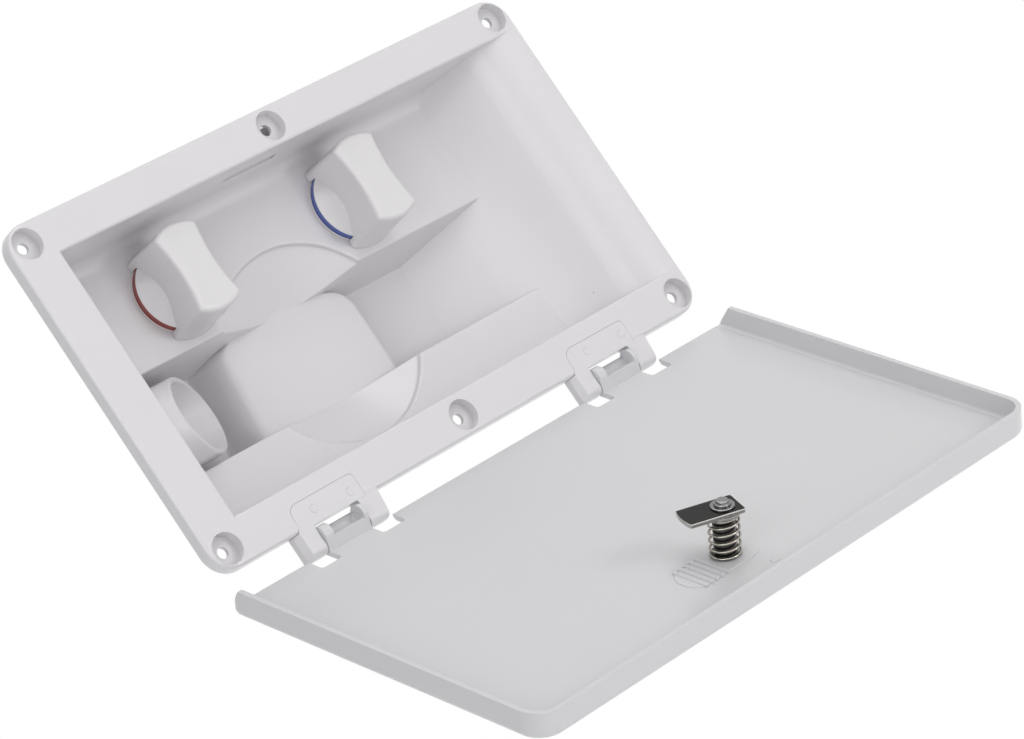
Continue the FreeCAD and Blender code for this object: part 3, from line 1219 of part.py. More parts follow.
def make_tail(name, at, plug_length, plug_radius):
    """Pipe tail: a plug that screws in, a six-sided collar and a plain stub, pointing backwards."""
    x, y, z = at
    plug = rod(name + "_plug", plug_radius, plug_length, (x, "(%s - %s)" % (y, plug_length), z), "Y")
    collar = hexagon(name + "_collar", "tail_flats", "tail_collar", at, "Y")
    spigot_start = "(%s + tail_collar)" % y
    spigot_end = "(%s + tail_length)" % spigot_start
    spigot = spun(name + "_spigot", (x, "0", z), "Y", [
        ("0", spigot_start), ("tail_radius", spigot_start), ("tail_radius", "(%s - tail_lead)" % spigot_end),
        ("(tail_radius - tail_lead)", spigot_end), ("0", spigot_end),
    ])
    bore = rod(name + "_bore", "tail_bore", "(%s + tail_collar + tail_length + 2)" % plug_length,
               (x, "(%s - %s - 1)" % (y, plug_length), z), "Y")
    return node(name, cut(name + "_solid", fuse(name + "_whole", plug, collar, spigot), bore))


def make_manifold():
    """Mixing pipe between the two valve bodies, with a tee to the outlet tail."""
    height = "tap_height"
    start = "(%s + valve_radius + 1)" % TAPS["hot"]
    length = "(tap_span - 2 * valve_radius - 2)"
    pipe = rod("manifold_pipe", "manifold_radius", length, (start, PORT_Y, height), "X")
    stem = rod("manifold_tee", "tee_radius", "tee_length", ("inner_centre", PORT_Y, height), "Y")
    ring = rod("manifold_band", "(tee_radius + 1.5)", "(2 * tee_radius + 4)",
               ("(inner_centre - tee_radius - 2)", PORT_Y, height), "X")
    bore = rod("manifold_through", "manifold_bore", "(%s + 2)" % length, ("(%s - 1)" % start, PORT_Y, height), "X")
    down = rod("manifold_out", "(tail_radius + 0.02)", "(tee_length + 1)", ("inner_centre", PORT_Y, height), "Y")
    node("mixing_pipe", cut("manifold_solid", fuse("manifold_whole", pipe, stem, ring), bore, down))
    make_tail("outlet_tail", ("inner_centre", "(%s + tee_length)" % PORT_Y, height), "(tee_length / 2)", "tail_radius")


def left_of_wall(name, inset):
    """Everything to the left of a plane that lies parallel to the left wall, so far inside its inner face."""
    front, back = "(%s - socket_radius - 2)" % SOCKET_Y, "(%s + socket_radius + 2)" % SOCKET_Y
    far = "(0 - opening_left - 30)"
    return prism(name, "XY", "(%s - socket_radius - 2)" % SOCKET_Z, "(2 * socket_radius + 4)", [
        (far, front), (left_face(front, "0 - " + inset), front), (left_face(back, "0 - " + inset), back), (far, back),
    ])


def make_socket():
    """Hose socket: a cup on the slanted left wall with a slanted mouth, its shank through the wall, nut and seal."""
    far = "(0 - opening_left - 5)"
    reach = "(socket_mouth + socket_radius + 11)"
    cup = rod("socket_cup", "socket_radius", reach, (far, SOCKET_Y, SOCKET_Z), "X")
    rise = "(socket_radius + 5) * tan(socket_bevel)"
    mouth_middle = "(socket_mouth - opening_left)"
    front, back = "(%s - socket_radius - 5)" % SOCKET_Y, "(%s + socket_radius + 5)" % SOCKET_Y
    bevel = prism("socket_slant", "XY", "(%s - socket_radius - 2)" % SOCKET_Z, "(2 * socket_radius + 4)", [
        ("(%s - %s)" % (mouth_middle, rise), front), ("(%s + %s)" % (mouth_middle, rise), front),
        ("(%s + %s)" % (mouth_middle, rise), back),
    ])
    inside = rod("socket_inside", "(socket_radius - socket_wall)", "(%s + socket_radius)" % reach,
                 (far, SOCKET_Y, SOCKET_Z), "X")
    inside = cut("socket_hollow", inside, left_of_wall("socket_floor", "socket_base"))
    shell = cut("socket_shell", cup, bevel, inside, left_of_wall("socket_foot", "0"))
    slope = math.tan(math.radians(num("socket_bevel")))
    mouth, middle = num(mouth_middle), num(SOCKET_Y)

    def on_mouth(edge):
        point = edge.valueAt(edge.FirstParameter)
        return edge.BoundBox.XLength > 5 and abs(point.x - (mouth + (point.y - middle) * slope)) < 0.05

    shell = soften("socket_soft", shell, "socket_rim_round", on_mouth)
    shank = rod("socket_shank_rod", "socket_shank / 2",
                "(wall + seal_thick + socket_nut_height + socket_shank_proud + 0.5)", through_left("0 - 0.5"), "left wall")
    hose = rod("socket_hose_hole", "hose_hole / 2",
               "(socket_base + wall + seal_thick + socket_nut_height + socket_shank_proud + 2)",
               through_left("0 - socket_base - 1"), "left wall")
    node("hose_socket", cut("socket_solid", fuse("socket_body", shell, shank), hose))
    seal = spun("socket_seal_ring", through_left("wall"), "left wall", [
        ("(socket_shank / 2 + shank_hole_gap)", "0"), ("socket_seal_radius", "0"),
        ("socket_seal_radius", "seal_thick"), ("(socket_shank / 2 + shank_hole_gap)", "seal_thick"),
    ])
    node("socket_seal", seal)
    nut = hexagon("socket_nut_solid", "socket_nut_flats", "socket_nut_height", through_left("wall + seal_thick"),
                  "left wall", "(socket_shank / 2 + 0.02)")
    node("socket_nut", nut)


make_recess_box()
make_gasket()
for side, centre in HINGES.items():
    make_hinge_clip(side, centre)
make_door()
make_latch()
make_spring()
for side, x in TAPS.items():
    make_tap(side, x)
make_manifold()
make_socket()
doc.recompute()

faults = [thing.Label for thing in doc.Objects if "Invalid" in thing.State or "Error" in thing.State]
if faults:
    raise ValueError("failed objects: " + ", ".join(faults))
for name, made in NODES.items():
    if made.Shape.isNull() or not made.Shape.isValid():
        raise ValueError("bad shape: " + name)

os.makedirs("parts", exist_ok=True)
for name, made in NODES.items():
    made.Shape.exportStep("parts/%s.step" % name)
    box = made.Shape.BoundBox
    print("%-20s solids %d  volume %9.1f  box %s" % (
        name, len(made.Shape.Solids), made.Shape.Volume,
        " ".join("%.1f" % v for v in (box.XMin, box.YMin, box.ZMin, box.XMax, box.YMax, box.ZMax))))
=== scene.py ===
"""Looks, light and camera for a recessed shower unit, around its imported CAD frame.

The frame's nodes keep their CAD shapes. This script gives every node a procedural finish, winds the latch's
spring with closed ends, adds three forms of the moulded recess and the marks that its mould leaves, lights
the unit like a studio product shot and sets the camera where the photograph was taken. All lengths are
metres, in the CAD's own frame: X along the unit, Y into the wall and Z up.
"""
import json
import logging
import math
from dataclasses import dataclass, field
from enum import Enum
from typing import ClassVar

import bmesh
import bpy
from mathutils import Matrix, Vector


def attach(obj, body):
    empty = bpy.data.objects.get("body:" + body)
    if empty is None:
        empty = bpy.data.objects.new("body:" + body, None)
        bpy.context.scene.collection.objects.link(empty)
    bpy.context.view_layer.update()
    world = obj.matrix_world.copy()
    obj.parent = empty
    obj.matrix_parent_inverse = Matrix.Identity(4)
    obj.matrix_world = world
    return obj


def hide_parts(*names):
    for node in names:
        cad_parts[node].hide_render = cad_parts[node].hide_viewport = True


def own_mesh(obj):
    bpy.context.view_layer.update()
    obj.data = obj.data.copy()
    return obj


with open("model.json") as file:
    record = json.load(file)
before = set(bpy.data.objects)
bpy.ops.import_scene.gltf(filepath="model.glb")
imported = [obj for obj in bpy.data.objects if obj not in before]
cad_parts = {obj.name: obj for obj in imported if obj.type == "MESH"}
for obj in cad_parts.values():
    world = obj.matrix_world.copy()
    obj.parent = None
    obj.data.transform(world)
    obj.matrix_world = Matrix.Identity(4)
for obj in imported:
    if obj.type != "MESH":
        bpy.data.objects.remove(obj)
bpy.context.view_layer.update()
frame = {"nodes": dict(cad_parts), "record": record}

logging.basicConfig(level=logging.INFO, format="%(message)s")
LOG = logging.getLogger("shower_unit")

RGB = tuple[float, float, float]
RGBA = tuple[float, float, float, float]
XYZ = tuple[float, float, float]
Span = tuple[float, float]
Grid = list[list[bmesh.types.BMVert]]


class Grain(Enum):
    """How the fine surface of a finish runs."""

    ORANGE_PEEL = "orange_peel"
    BRUSHED = "brushed"
    CELLULAR = "cellular"
    LAPPED = "lapped"


class Graph:
    """A small builder for shader node trees."""

    # numbers of the colour sockets on the mix node
    MIX_AMOUNT, MIX_FIRST, MIX_SECOND, MIXED = 0, 6, 7, 2

    def __init__(self, tree: bpy.types.NodeTree) -> None:
        """Empty a node tree and keep hold of it.

        Args:
            tree: The node tree of a material or world.
        """
        self.tree = tree
        tree.nodes.clear()

    def add(self, kind: str, **settings: object) -> bpy.types.Node:
        """Add a node.

        Args:
            kind: The node's Blender type name.
            **settings: Properties to set on the node itself.

        Returns:
            The new node.
        """
        node = self.tree.nodes.new(kind)
        for name, value in settings.items():
            setattr(node, name, value)
        return node

    def feed(self, node: bpy.types.Node, socket: str | int, value: object) -> None:
        """Set or link one input.

        Args:
            node: The node whose input is fed.
            socket: The input's name or number.
            value: An output socket to link, or a constant.
        """
        if isinstance(value, bpy.types.NodeSocket):
            self.tree.links.new(value, node.inputs[socket])
        else:
            node.inputs[socket].default_value = value

    def math(self, operation: str, first: object, second: object = 0.0,
             third: object = 0.0) -> bpy.types.NodeSocket:
        """Add a maths node.

        Args:
            operation: The operation's name.
            first: First operand.
            second: Second operand.
            third: Third operand, for the operations that take one.

        Returns:
            The result's socket.
        """
        node = self.add("ShaderNodeMath", operation=operation)
        for index, value in enumerate((first, second, third)):
            self.feed(node, index, value)
        return node.outputs[0]

    def noise(self, where: bpy.types.NodeSocket, scale: float, detail: float = 3.0) -> bpy.types.NodeSocket:
        """Add a noise texture.

        Args:
            where: The coordinates that it is read at.
            scale: Its scale, in waves a metre.
            detail: Its octaves.

        Returns:
            The noise's value socket.
        """
        node = self.add("ShaderNodeTexNoise")
        self.feed(node, "Vector", where)
        self.feed(node, "Scale", scale)
        self.feed(node, "Detail", detail)
        return node.outputs["Fac"]

    def spread(self, value: bpy.types.NodeSocket, low: float, high: float,
               start: float = 0.3, stop: float = 0.7) -> bpy.types.NodeSocket:
        """Map a span of one value to another span.

        Args:
            value: The value to map.
            low: Result at the start.
            high: Result at the stop.
            start: Lower end of the span that is read.
            stop: Upper end of the span that is read.

        Returns:
            The mapped value's socket.
        """
        node = self.add("ShaderNodeMapRange")
        ends = {"From Min": start, "From Max": stop, "To Min": low, "To Max": high}
        for name, number in {"Value": value, **ends}.items():
            self.feed(node, name, number)
        return node.outputs["Result"]

    def tint(self, amount: object, first: object, second: object) -> bpy.types.NodeSocket:
        """Mix two colours.

        Args:
            amount: How much of the second colour.
            first: The first colour.
            second: The second colour.

        Returns:
            The mixed colour's socket.
        """
        node = self.add("ShaderNodeMix", data_type="RGBA")
        self.feed(node, self.MIX_AMOUNT, amount)
        self.feed(node, self.MIX_FIRST, first)
        self.feed(node, self.MIX_SECOND, second)
        return node.outputs[self.MIXED]

    def along(self, first: object, second: object) -> bpy.types.NodeSocket:
        """Add a dot product.

        Args:
            first: First vector.
            second: Second vector.

        Returns:
            The product's socket.
        """
        node = self.add("ShaderNodeVectorMath", operation="DOT_PRODUCT")
        self.feed(node, 0, first)
        self.feed(node, 1, second)
        return node.outputs["Value"]

    def axis(self, place: bpy.types.NodeSocket, name: str) -> bpy.types.NodeSocket:
        """Take one coordinate of a place.

        Args:
            place: The place's socket.
            name: X, Y or Z.

        Returns:
            The coordinate's socket.
        """
        node = self.add("ShaderNodeSeparateXYZ")
        self.feed(node, 0, place)
        return node.outputs[name]


@dataclass(frozen=True)
class Finish:
    """A procedural surface.

    Args:
        name: The material's name.
        colour: Base colour, linear.
        roughness: Middle roughness.
        metallic: 1 for bare metal.
        grain: The kind of fine surface.
        grain_scale: Scale of the fine surface, in waves a metre.
        grain_depth: Height of the fine surface, in metres.
        mottle: How far the colour wanders.
        wear_and_edge_highlight: How far handled edges lighten, partly from handling and partly as a painted
            edge highlight.
        edge: Radius that sharp edges are shaded with, in metres.
        sheen: Clear gloss over the colour.
        dots: Small dark specks in the moulding as (x, y, z, radius), in metres.
        lip: Depth into the wall from where the colour turns pale, in metres.
        dark_line_depth: Depth into the wall at which a dark line is painted round, in metres.
        painted_hollow_shade: How far narrow recesses are darkened with painted shade.
        painted_light_sides: Colour painted on the sides square to the plate's flat face, a painted highlight
            lighter than the face.
        flat_face: Direction that the plate's flat face looks.
    """

    name: str
    colour: RGB
    roughness: float = 0.4
    metallic: float = 0.0
    grain: Grain = Grain.ORANGE_PEEL
    grain_scale: float = 260.0
    grain_depth: float = 0.00004
    mottle: float = 0.03
    wear_and_edge_highlight: float = 0.06
    edge: float = 0.0003
    sheen: float = 0.0
    dots: tuple[tuple[float, float, float, float], ...] = ()
    lip: float | None = None
    dark_line_depth: float | None = None
    painted_hollow_shade: float = 0.0
    painted_light_sides: RGB | None = None
    flat_face: XYZ = (0.0, 0.0, 1.0)

    # what all finishes share: scales in waves a metre, lengths in metres, and spans of a value that are read
    COAT_ROUGHNESS: ClassVar[float] = 0.12
    BEVEL_SAMPLES: ClassVar[int] = 4
    CLOUD_SCALE: ClassVar[float] = 14.0
    CLOUD_SPAN: ClassVar[Span] = (0.15, 0.85)
    HOLLOW_SAMPLES: ClassVar[int] = 8
    HOLLOW_REACH: ClassVar[float] = 0.004
    HOLLOW_SHADE: ClassVar[float] = 0.12
    HOLLOW_SPAN: ClassVar[Span] = (0.25, 0.85)
    SIDE_SPAN: ClassVar[Span] = (0.80, 0.98)
    EDGE_WEAR_HIGHLIGHT_SPAN: ClassVar[Span] = (0.75, 0.96)
    PATCH_SCALE: ClassVar[float] = 90.0
    PATCH_LEAST: ClassVar[float] = 0.55
    DOT_COLOUR: ClassVar[RGBA] = (0.30, 0.29, 0.28, 1.0)
    DOT_STRENGTH: ClassVar[float] = 0.5
    LIP_COLOUR: ClassVar[RGBA] = (0.86, 0.82, 0.79, 1.0)
    LIP_STRENGTH: ClassVar[float] = 0.95
    LIP_BLUR: ClassVar[float] = 0.00008
    DARK_LINE_SHARE: ClassVar[float] = 0.3
    DARK_LINE_STRENGTH: ClassVar[float] = 0.9
    DARK_LINE_HALF: ClassVar[Span] = (0.0003, 0.0005)
    SMEAR_SCALE: ClassVar[float] = 38.0
    SMEAR_SPAN: ClassVar[Span] = (0.15, 0.85)
    SMOOTHER: ClassVar[float] = 0.05
    ROUGHER: ClassVar[float] = 0.07
    BRUSH_SQUEEZE: ClassVar[XYZ] = (0.05, 1.0, 1.0)
    LAP_DISTORTION: ClassVar[float] = 6.0

    def build(self) -> bpy.types.Material:
        """Make the material.

        Returns:
            The new material.
        """
        material = bpy.data.materials.new(self.name)
        material.use_nodes = True
        graph = Graph(material.node_tree)
        place = graph.add("ShaderNodeTexCoord").outputs["Object"]
        soft = graph.add("ShaderNodeBevel", samples=self.BEVEL_SAMPLES)
        graph.feed(soft, "Radius", self.edge)
        rounded = soft.outputs["Normal"]
        shader = graph.add("ShaderNodeBsdfPrincipled")
        graph.feed(shader, "Metallic", self.metallic)
        graph.feed(shader, "Coat Weight", self.sheen)
        graph.feed(shader, "Coat Roughness", self.COAT_ROUGHNESS)
        graph.feed(shader, "Base Color", self._colour(graph, place, rounded))
        graph.feed(shader, "Roughness", self._roughness(graph, place))
        graph.feed(shader, "Normal", self._normal(graph, place, rounded))
        output = graph.add("ShaderNodeOutputMaterial")
        graph.feed(output, "Surface", shader.outputs["BSDF"])
        return material

    def _shade(self, share: float) -> RGBA:
        """The base colour, darkened.

        Args:
            share: How much of it is left.

        Returns:
            The darker colour.
        """
        red, green, blue = (channel * share for channel in self.colour)
        return red, green, blue, 1.0

    def _colour(self, graph: Graph, place: bpy.types.NodeSocket,
                rounded: bpy.types.NodeSocket) -> bpy.types.NodeSocket:
        """Colour with mottling, painted shade in narrow recesses, painted light on the sides, patchy worn
        edges that also carry a painted edge highlight, specks, a pale lip and a dark line.

        Args:
            graph: The material's graph.
            place: Object coordinates.
            rounded: The normal with sharp edges rounded.

        Returns:
            The colour's socket.
        """
        clouds = graph.spread(graph.noise(place, self.CLOUD_SCALE, 1.0), 0.0, 1.0, *self.CLOUD_SPAN)
        colour = graph.tint(clouds, (*self.colour, 1.0), self._shade(1.0 - self.mottle))
        # painted shade: narrow recesses blend towards a dark copy of the colour, where shade falls
        if self.painted_hollow_shade:
            shade_probe = graph.add("ShaderNodeAmbientOcclusion", samples=self.HOLLOW_SAMPLES)
            graph.feed(shade_probe, "Distance", self.HOLLOW_REACH)
            amount = graph.spread(shade_probe.outputs["AO"], self.painted_hollow_shade, 0.0, *self.HOLLOW_SPAN)
            colour = graph.tint(amount, colour, self._shade(self.HOLLOW_SHADE))
        # painted light: faces square to flat_face take a lighter colour than the flat face
        if self.painted_light_sides is not None:
            facing = graph.along(graph.add("ShaderNodeTexCoord").outputs["Normal"], self.flat_face)
            sides = graph.spread(graph.math("ABSOLUTE", facing), 1.0, 0.0, *self.SIDE_SPAN)
            colour = graph.tint(sides, colour, (*self.painted_light_sides, 1.0))
        # edges turn pale in patches: partly handling, partly a painted edge highlight
        if self.wear_and_edge_highlight:
            turned = graph.along(rounded, graph.add("ShaderNodeNewGeometry").outputs["Normal"])
            edge = graph.spread(turned, 1.0, 0.0, *self.EDGE_WEAR_HIGHLIGHT_SPAN)
            patches = graph.spread(graph.noise(place, self.PATCH_SCALE), self.PATCH_LEAST, 1.0)
            pale = (*(min(1.0, channel + (1.0 - channel) * self.wear_and_edge_highlight) for channel in self.colour), 1.0)
            colour = graph.tint(graph.math("MULTIPLY", edge, patches), colour, pale)
        for x, y, z, radius in self.dots:
            gap = graph.add("ShaderNodeVectorMath", operation="DISTANCE")
            graph.feed(gap, 0, place)
            graph.feed(gap, 1, (x, y, z))
            dot = graph.spread(gap.outputs["Value"], self.DOT_STRENGTH, 0.0, radius * 0.5, radius)
            colour = graph.tint(dot, colour, self.DOT_COLOUR)
        if self.lip is not None:
            lip = graph.spread(graph.axis(place, "Y"), 0.0, self.LIP_STRENGTH,
                               self.lip - self.LIP_BLUR, self.lip + self.LIP_BLUR)
            colour = graph.tint(lip, colour, self.LIP_COLOUR)
        # a thin dark line painted round the part at a set depth
        if self.dark_line_depth is not None:
            away = graph.math("ABSOLUTE", graph.math("SUBTRACT", graph.axis(place, "Y"), self.dark_line_depth))
            line = graph.spread(away, self.DARK_LINE_STRENGTH, 0.0, *self.DARK_LINE_HALF)
            colour = graph.tint(line, colour, self._shade(self.DARK_LINE_SHARE))
        return colour

    def _roughness(self, graph: Graph, place: bpy.types.NodeSocket) -> bpy.types.NodeSocket:
        """Roughness that drifts with handling.

        Args:
            graph: The material's graph.
            place: Object coordinates.

        Returns:
            The roughness's socket.
        """
        smears = graph.noise(place, self.SMEAR_SCALE, 2.0)
        low, high = max(0.02, self.roughness - self.SMOOTHER), min(1.0, self.roughness + self.ROUGHER)
        return graph.spread(smears, low, high, *self.SMEAR_SPAN)

    def _normal(self, graph: Graph, place: bpy.types.NodeSocket,
                rounded: bpy.types.NodeSocket) -> bpy.types.NodeSocket:
        """Fine surface as a bump over softened edges.

        Args:
            graph: The material's graph.
            place: Object coordinates.
            rounded: The normal with sharp edges rounded.

        Returns:
            The bumped normal's socket.
        """
        bump = graph.add("ShaderNodeBump")
        graph.feed(bump, "Strength", 1.0)
        graph.feed(bump, "Distance", self.grain_depth)
        graph.feed(bump, "Normal", rounded)
        graph.feed(bump, "Height", self._height(graph, place))
        return bump.outputs["Normal"]

    def _height(self, graph: Graph, place: bpy.types.NodeSocket) -> bpy.types.NodeSocket:
        """Height of the fine surface.

        Args:
            graph: The material's graph.
            place: Object coordinates.

        Returns:
            The height's socket, from 0 to 1.
        """
        if self.grain is Grain.CELLULAR:
            cells = graph.add("ShaderNodeTexVoronoi")
            graph.feed(cells, "Vector", place)
            graph.feed(cells, "Scale", self.grain_scale)
            return cells.outputs["Distance"]
        if self.grain is Grain.LAPPED:
            waves = graph.add("ShaderNodeTexWave", wave_type="RINGS")
            graph.feed(waves, "Vector", place)
            graph.feed(waves, "Scale", self.grain_scale)
            graph.feed(waves, "Distortion", self.LAP_DISTORTION)
            return waves.outputs["Fac"]
        if self.grain is Grain.BRUSHED:
            stretch = graph.add("ShaderNodeMapping")
            graph.feed(stretch, "Vector", place)
            graph.feed(stretch, "Scale", self.BRUSH_SQUEEZE)
            place = stretch.outputs["Vector"]
        return graph.noise(place, self.grain_scale, 2.0)


class Palette:
    """Every finish on the unit, made once."""

    MOULDING = Finish("moulded_white", (0.685, 0.672, 0.69), 0.32, sheen=0.22, grain_scale=190.0,
                      grain_depth=0.00003, mottle=0.02, wear_and_edge_highlight=0.12,
                      dots=((0.100, 0.0289, 0.0470, 0.0009), (0.1225, 0.0163, -0.0560, 0.0007)))
    DOOR = Finish("door_white", (0.632, 0.632, 0.648), 0.34, sheen=0.22, grain_scale=150.0,
                  grain_depth=0.00004, mottle=0.02, wear_and_edge_highlight=0.12)
    KNOB = Finish("knob_white", (0.69, 0.68, 0.688), 0.34, sheen=0.22, grain_scale=420.0,
                  grain_depth=0.00001, mottle=0.008, wear_and_edge_highlight=0.1)
    FOAM = Finish("gasket_foam", (0.035, 0.035, 0.038), 0.9, grain=Grain.CELLULAR, grain_scale=1400.0,
                  grain_depth=0.0003, mottle=0.25, wear_and_edge_highlight=0.0)
    STAINLESS = Finish("stainless", (0.50, 0.49, 0.47), 0.26, 1.0, Grain.BRUSHED, 2600.0, 0.00001, 0.10, 0.15)
    # SPRING, RIVET and SHAFT darken their narrow recesses with painted shade
    SPRING = Finish("spring_wire", (0.46, 0.43, 0.38), 0.16, 1.0, Grain.BRUSHED, 3200.0, 0.00001, 0.30, 0.1,
                    painted_hollow_shade=0.95)
    # cam plate: dark steel whose near-black flat face also stands in for a painted dark reflection; its
    # lighter sides and strongly paled edges are painted highlights
    CAM_STEEL = Finish("cam_steel", (0.024, 0.023, 0.022), 0.15, 1.0, Grain.BRUSHED, 1400.0, 0.000012,
                       0.45, 0.7, edge=0.0004, painted_light_sides=(0.48, 0.47, 0.45), flat_face=(0.0, -0.673, 0.740))
    RIVET = Finish("rivet_steel", (0.27, 0.27, 0.27), 0.20, 1.0, Grain.BRUSHED, 2400.0, 0.00001, 0.25, 0.5,
                   painted_hollow_shade=0.9)
    SHAFT = Finish("shaft_steel", (0.13, 0.125, 0.115), 0.24, 1.0, Grain.BRUSHED, 2600.0, 0.00001, 0.10, 0.15,
                   painted_hollow_shade=0.6)
    BRASS = Finish("valve_brass", (0.66, 0.49, 0.24), 0.30, 1.0, Grain.BRUSHED, 2200.0, 0.000012, 0.12, 0.12)
    PLATED = Finish("plated_nut", (0.62, 0.62, 0.63), 0.16, 1.0, Grain.LAPPED, 900.0, 0.000008, 0.05, 0.1)
    RUBBER = Finish("black_rubber", (0.028, 0.028, 0.03), 0.62, grain_scale=900.0, grain_depth=0.00006,
                    mottle=0.2, wear_and_edge_highlight=0.05)
    RED = Finish("hot_ring_red", (0.31, 0.042, 0.034), 0.32, sheen=0.2, grain_scale=500.0,
                 grain_depth=0.00002, mottle=0.12, wear_and_edge_highlight=0.0, lip=0.0313, dark_line_depth=0.0303)
    BLUE = Finish("cold_ring_blue", (0.062, 0.115, 0.40), 0.32, sheen=0.2, grain_scale=500.0,
                  grain_depth=0.00002, mottle=0.12, wear_and_edge_highlight=0.0, lip=0.0313, dark_line_depth=0.0303)
    CERAMIC = Finish("lapped_ceramic", (0.74, 0.72, 0.67), 0.12, grain=Grain.LAPPED, grain_scale=700.0,
                     grain_depth=0.000005, mottle=0.03)
    GREY = Finish("grey_pipe_plastic", (0.33, 0.34, 0.35), 0.45, grain_scale=320.0, grain_depth=0.00005,
                  mottle=0.08)

    BY_NODE: dict[str, Finish] = {
        "recess_box": MOULDING,
        "flange_gasket": FOAM,
        "left_hinge_clip": MOULDING,
        "right_hinge_clip": MOULDING,
        "door_panel": DOOR,
        "latch_bush": GREY,
        "latch_shaft": SHAFT,
        "cam_plate": CAM_STEEL,
        "cam_washer": RIVET,
        "cam_rivet": RIVET,
        "spring_washer": STAINLESS,
        "latch_handle": DOOR,
        "latch_spring": SPRING,
        "mixing_pipe": GREY,
        "outlet_tail": BRASS,
        "hose_socket": MOULDING,
        "socket_seal": RUBBER,
        "socket_nut": GREY,
    }
    TAP_PARTS: dict[str, Finish] = {
        "knob": KNOB,
        "spindle": BRASS,
        "turning_disc": CERAMIC,
        "fixed_disc": CERAMIC,
        "disc_seal": RUBBER,
        "valve_body": BRASS,
        "panel_nut": PLATED,
        "panel_seal": RUBBER,
        "inlet_tail": BRASS,
    }

    def __init__(self) -> None:
        """Start with no materials made."""
        self._made: dict[str, bpy.types.Material] = {}

    def material(self, finish: Finish) -> bpy.types.Material:
        """The material of a finish, made on first use.

        Args:
            finish: The finish.

        Returns:
            Its material.
        """
        if finish.name not in self._made:
            self._made[finish.name] = finish.build()
        return self._made[finish.name]

    def finish_of(self, node: str) -> Finish:
        """The finish of a CAD node.

        Args:
            node: The node's name.

        Returns:
            Its finish.
        """
        if node in self.BY_NODE:
            return self.BY_NODE[node]
        side, _, part = node.partition("_")
        if part == "colour_ring":
            return self.RED if side == "hot" else self.BLUE
        return self.TAP_PARTS[part]


def mesh_piece(name: str, shell: bmesh.types.BMesh) -> bpy.types.Object:
    """Turn a built mesh into an object of the scene.

    Args:
        name: The piece's name.
        shell: The mesh, which is freed.

    Returns:
        The new object.
    """
    bmesh.ops.recalc_face_normals(shell, faces=shell.faces)
    mesh = bpy.data.meshes.new(name)
    shell.to_mesh(mesh)
    shell.free()
    thing = bpy.data.objects.new(name, mesh)
    bpy.context.scene.collection.objects.link(thing)
    return thing


def close_grids(shell: bmesh.types.BMesh, front: Grid, back: Grid) -> None:
    """Join two grids of the same size into one closed solid.

    Args:
        shell: The mesh.
        front: Columns of vertices in front.
        back: Columns of vertices behind.
    """
    wide, high = len(front), len(front[0])
    for grid in (front, back):
        for i in range(wide - 1):
            for k in range(high - 1):
                quad = (grid[i][k], grid[i + 1][k], grid[i + 1][k + 1], grid[i][k + 1])
                shell.faces.new(quad).smooth = True
    loop = [(i, 0) for i in range(wide)] + [(wide - 1, k) for k in range(1, high)]
    loop += [(i, high - 1) for i in range(wide - 2, -1, -1)] + [(0, k) for k in range(high - 2, 0, -1)]
    for (i, k), (m, n) in zip(loop, loop[1:] + loop[:1]):
        shell.faces.new((front[i][k], back[i][k], back[m][n], front[m][n]))


def skin_rings(shell: bmesh.types.BMesh, rings: Grid, smooth_back: bool = True) -> None:
    """Skin a row of rings of the same size into one closed solid.

    Args:
        shell: The mesh.
        rings: Rings of vertices, in order.
        smooth_back: Whether the strip between each ring's last and first vertex is shaded smooth too.
    """
    around = len(rings[0])
    for first, second in zip(rings, rings[1:]):
        for k in range(around):
            after = (k + 1) % around
            quad = (first[k], first[after], second[after], second[k])
            shell.faces.new(quad).smooth = smooth_back or after != 0
    shell.faces.new(rings[0])
    shell.faces.new(tuple(reversed(rings[-1])))


def sweep(name: str, centres: list[Vector], up: Vector, radius: float, sides: int) -> bpy.types.Object:
    """Skin a line of centres with a round tube whose ends are closed.

    Args:
        name: The piece's name.
        centres: The centre line.
        up: A direction that the line never runs along.
        radius: Radius of the tube.
        sides: Faces round the tube.

    Returns:
        The tube's object.
    """
    shell = bmesh.new()
    rings = []
    last = len(centres) - 1
    for index, centre in enumerate(centres):
        heading = (centres[min(last, index + 1)] - centres[max(0, index - 1)]).normalized()
        side = heading.cross(up).normalized()
        rise = side.cross(heading).normalized()
        ring = []
        for step in range(sides):
            angle = step / sides * math.tau
            spoke = side * math.cos(angle) + rise * math.sin(angle)
            ring.append(shell.verts.new(centre + spoke * radius))
        rings.append(ring)
    skin_rings(shell, rings)
    return mesh_piece(name, shell)


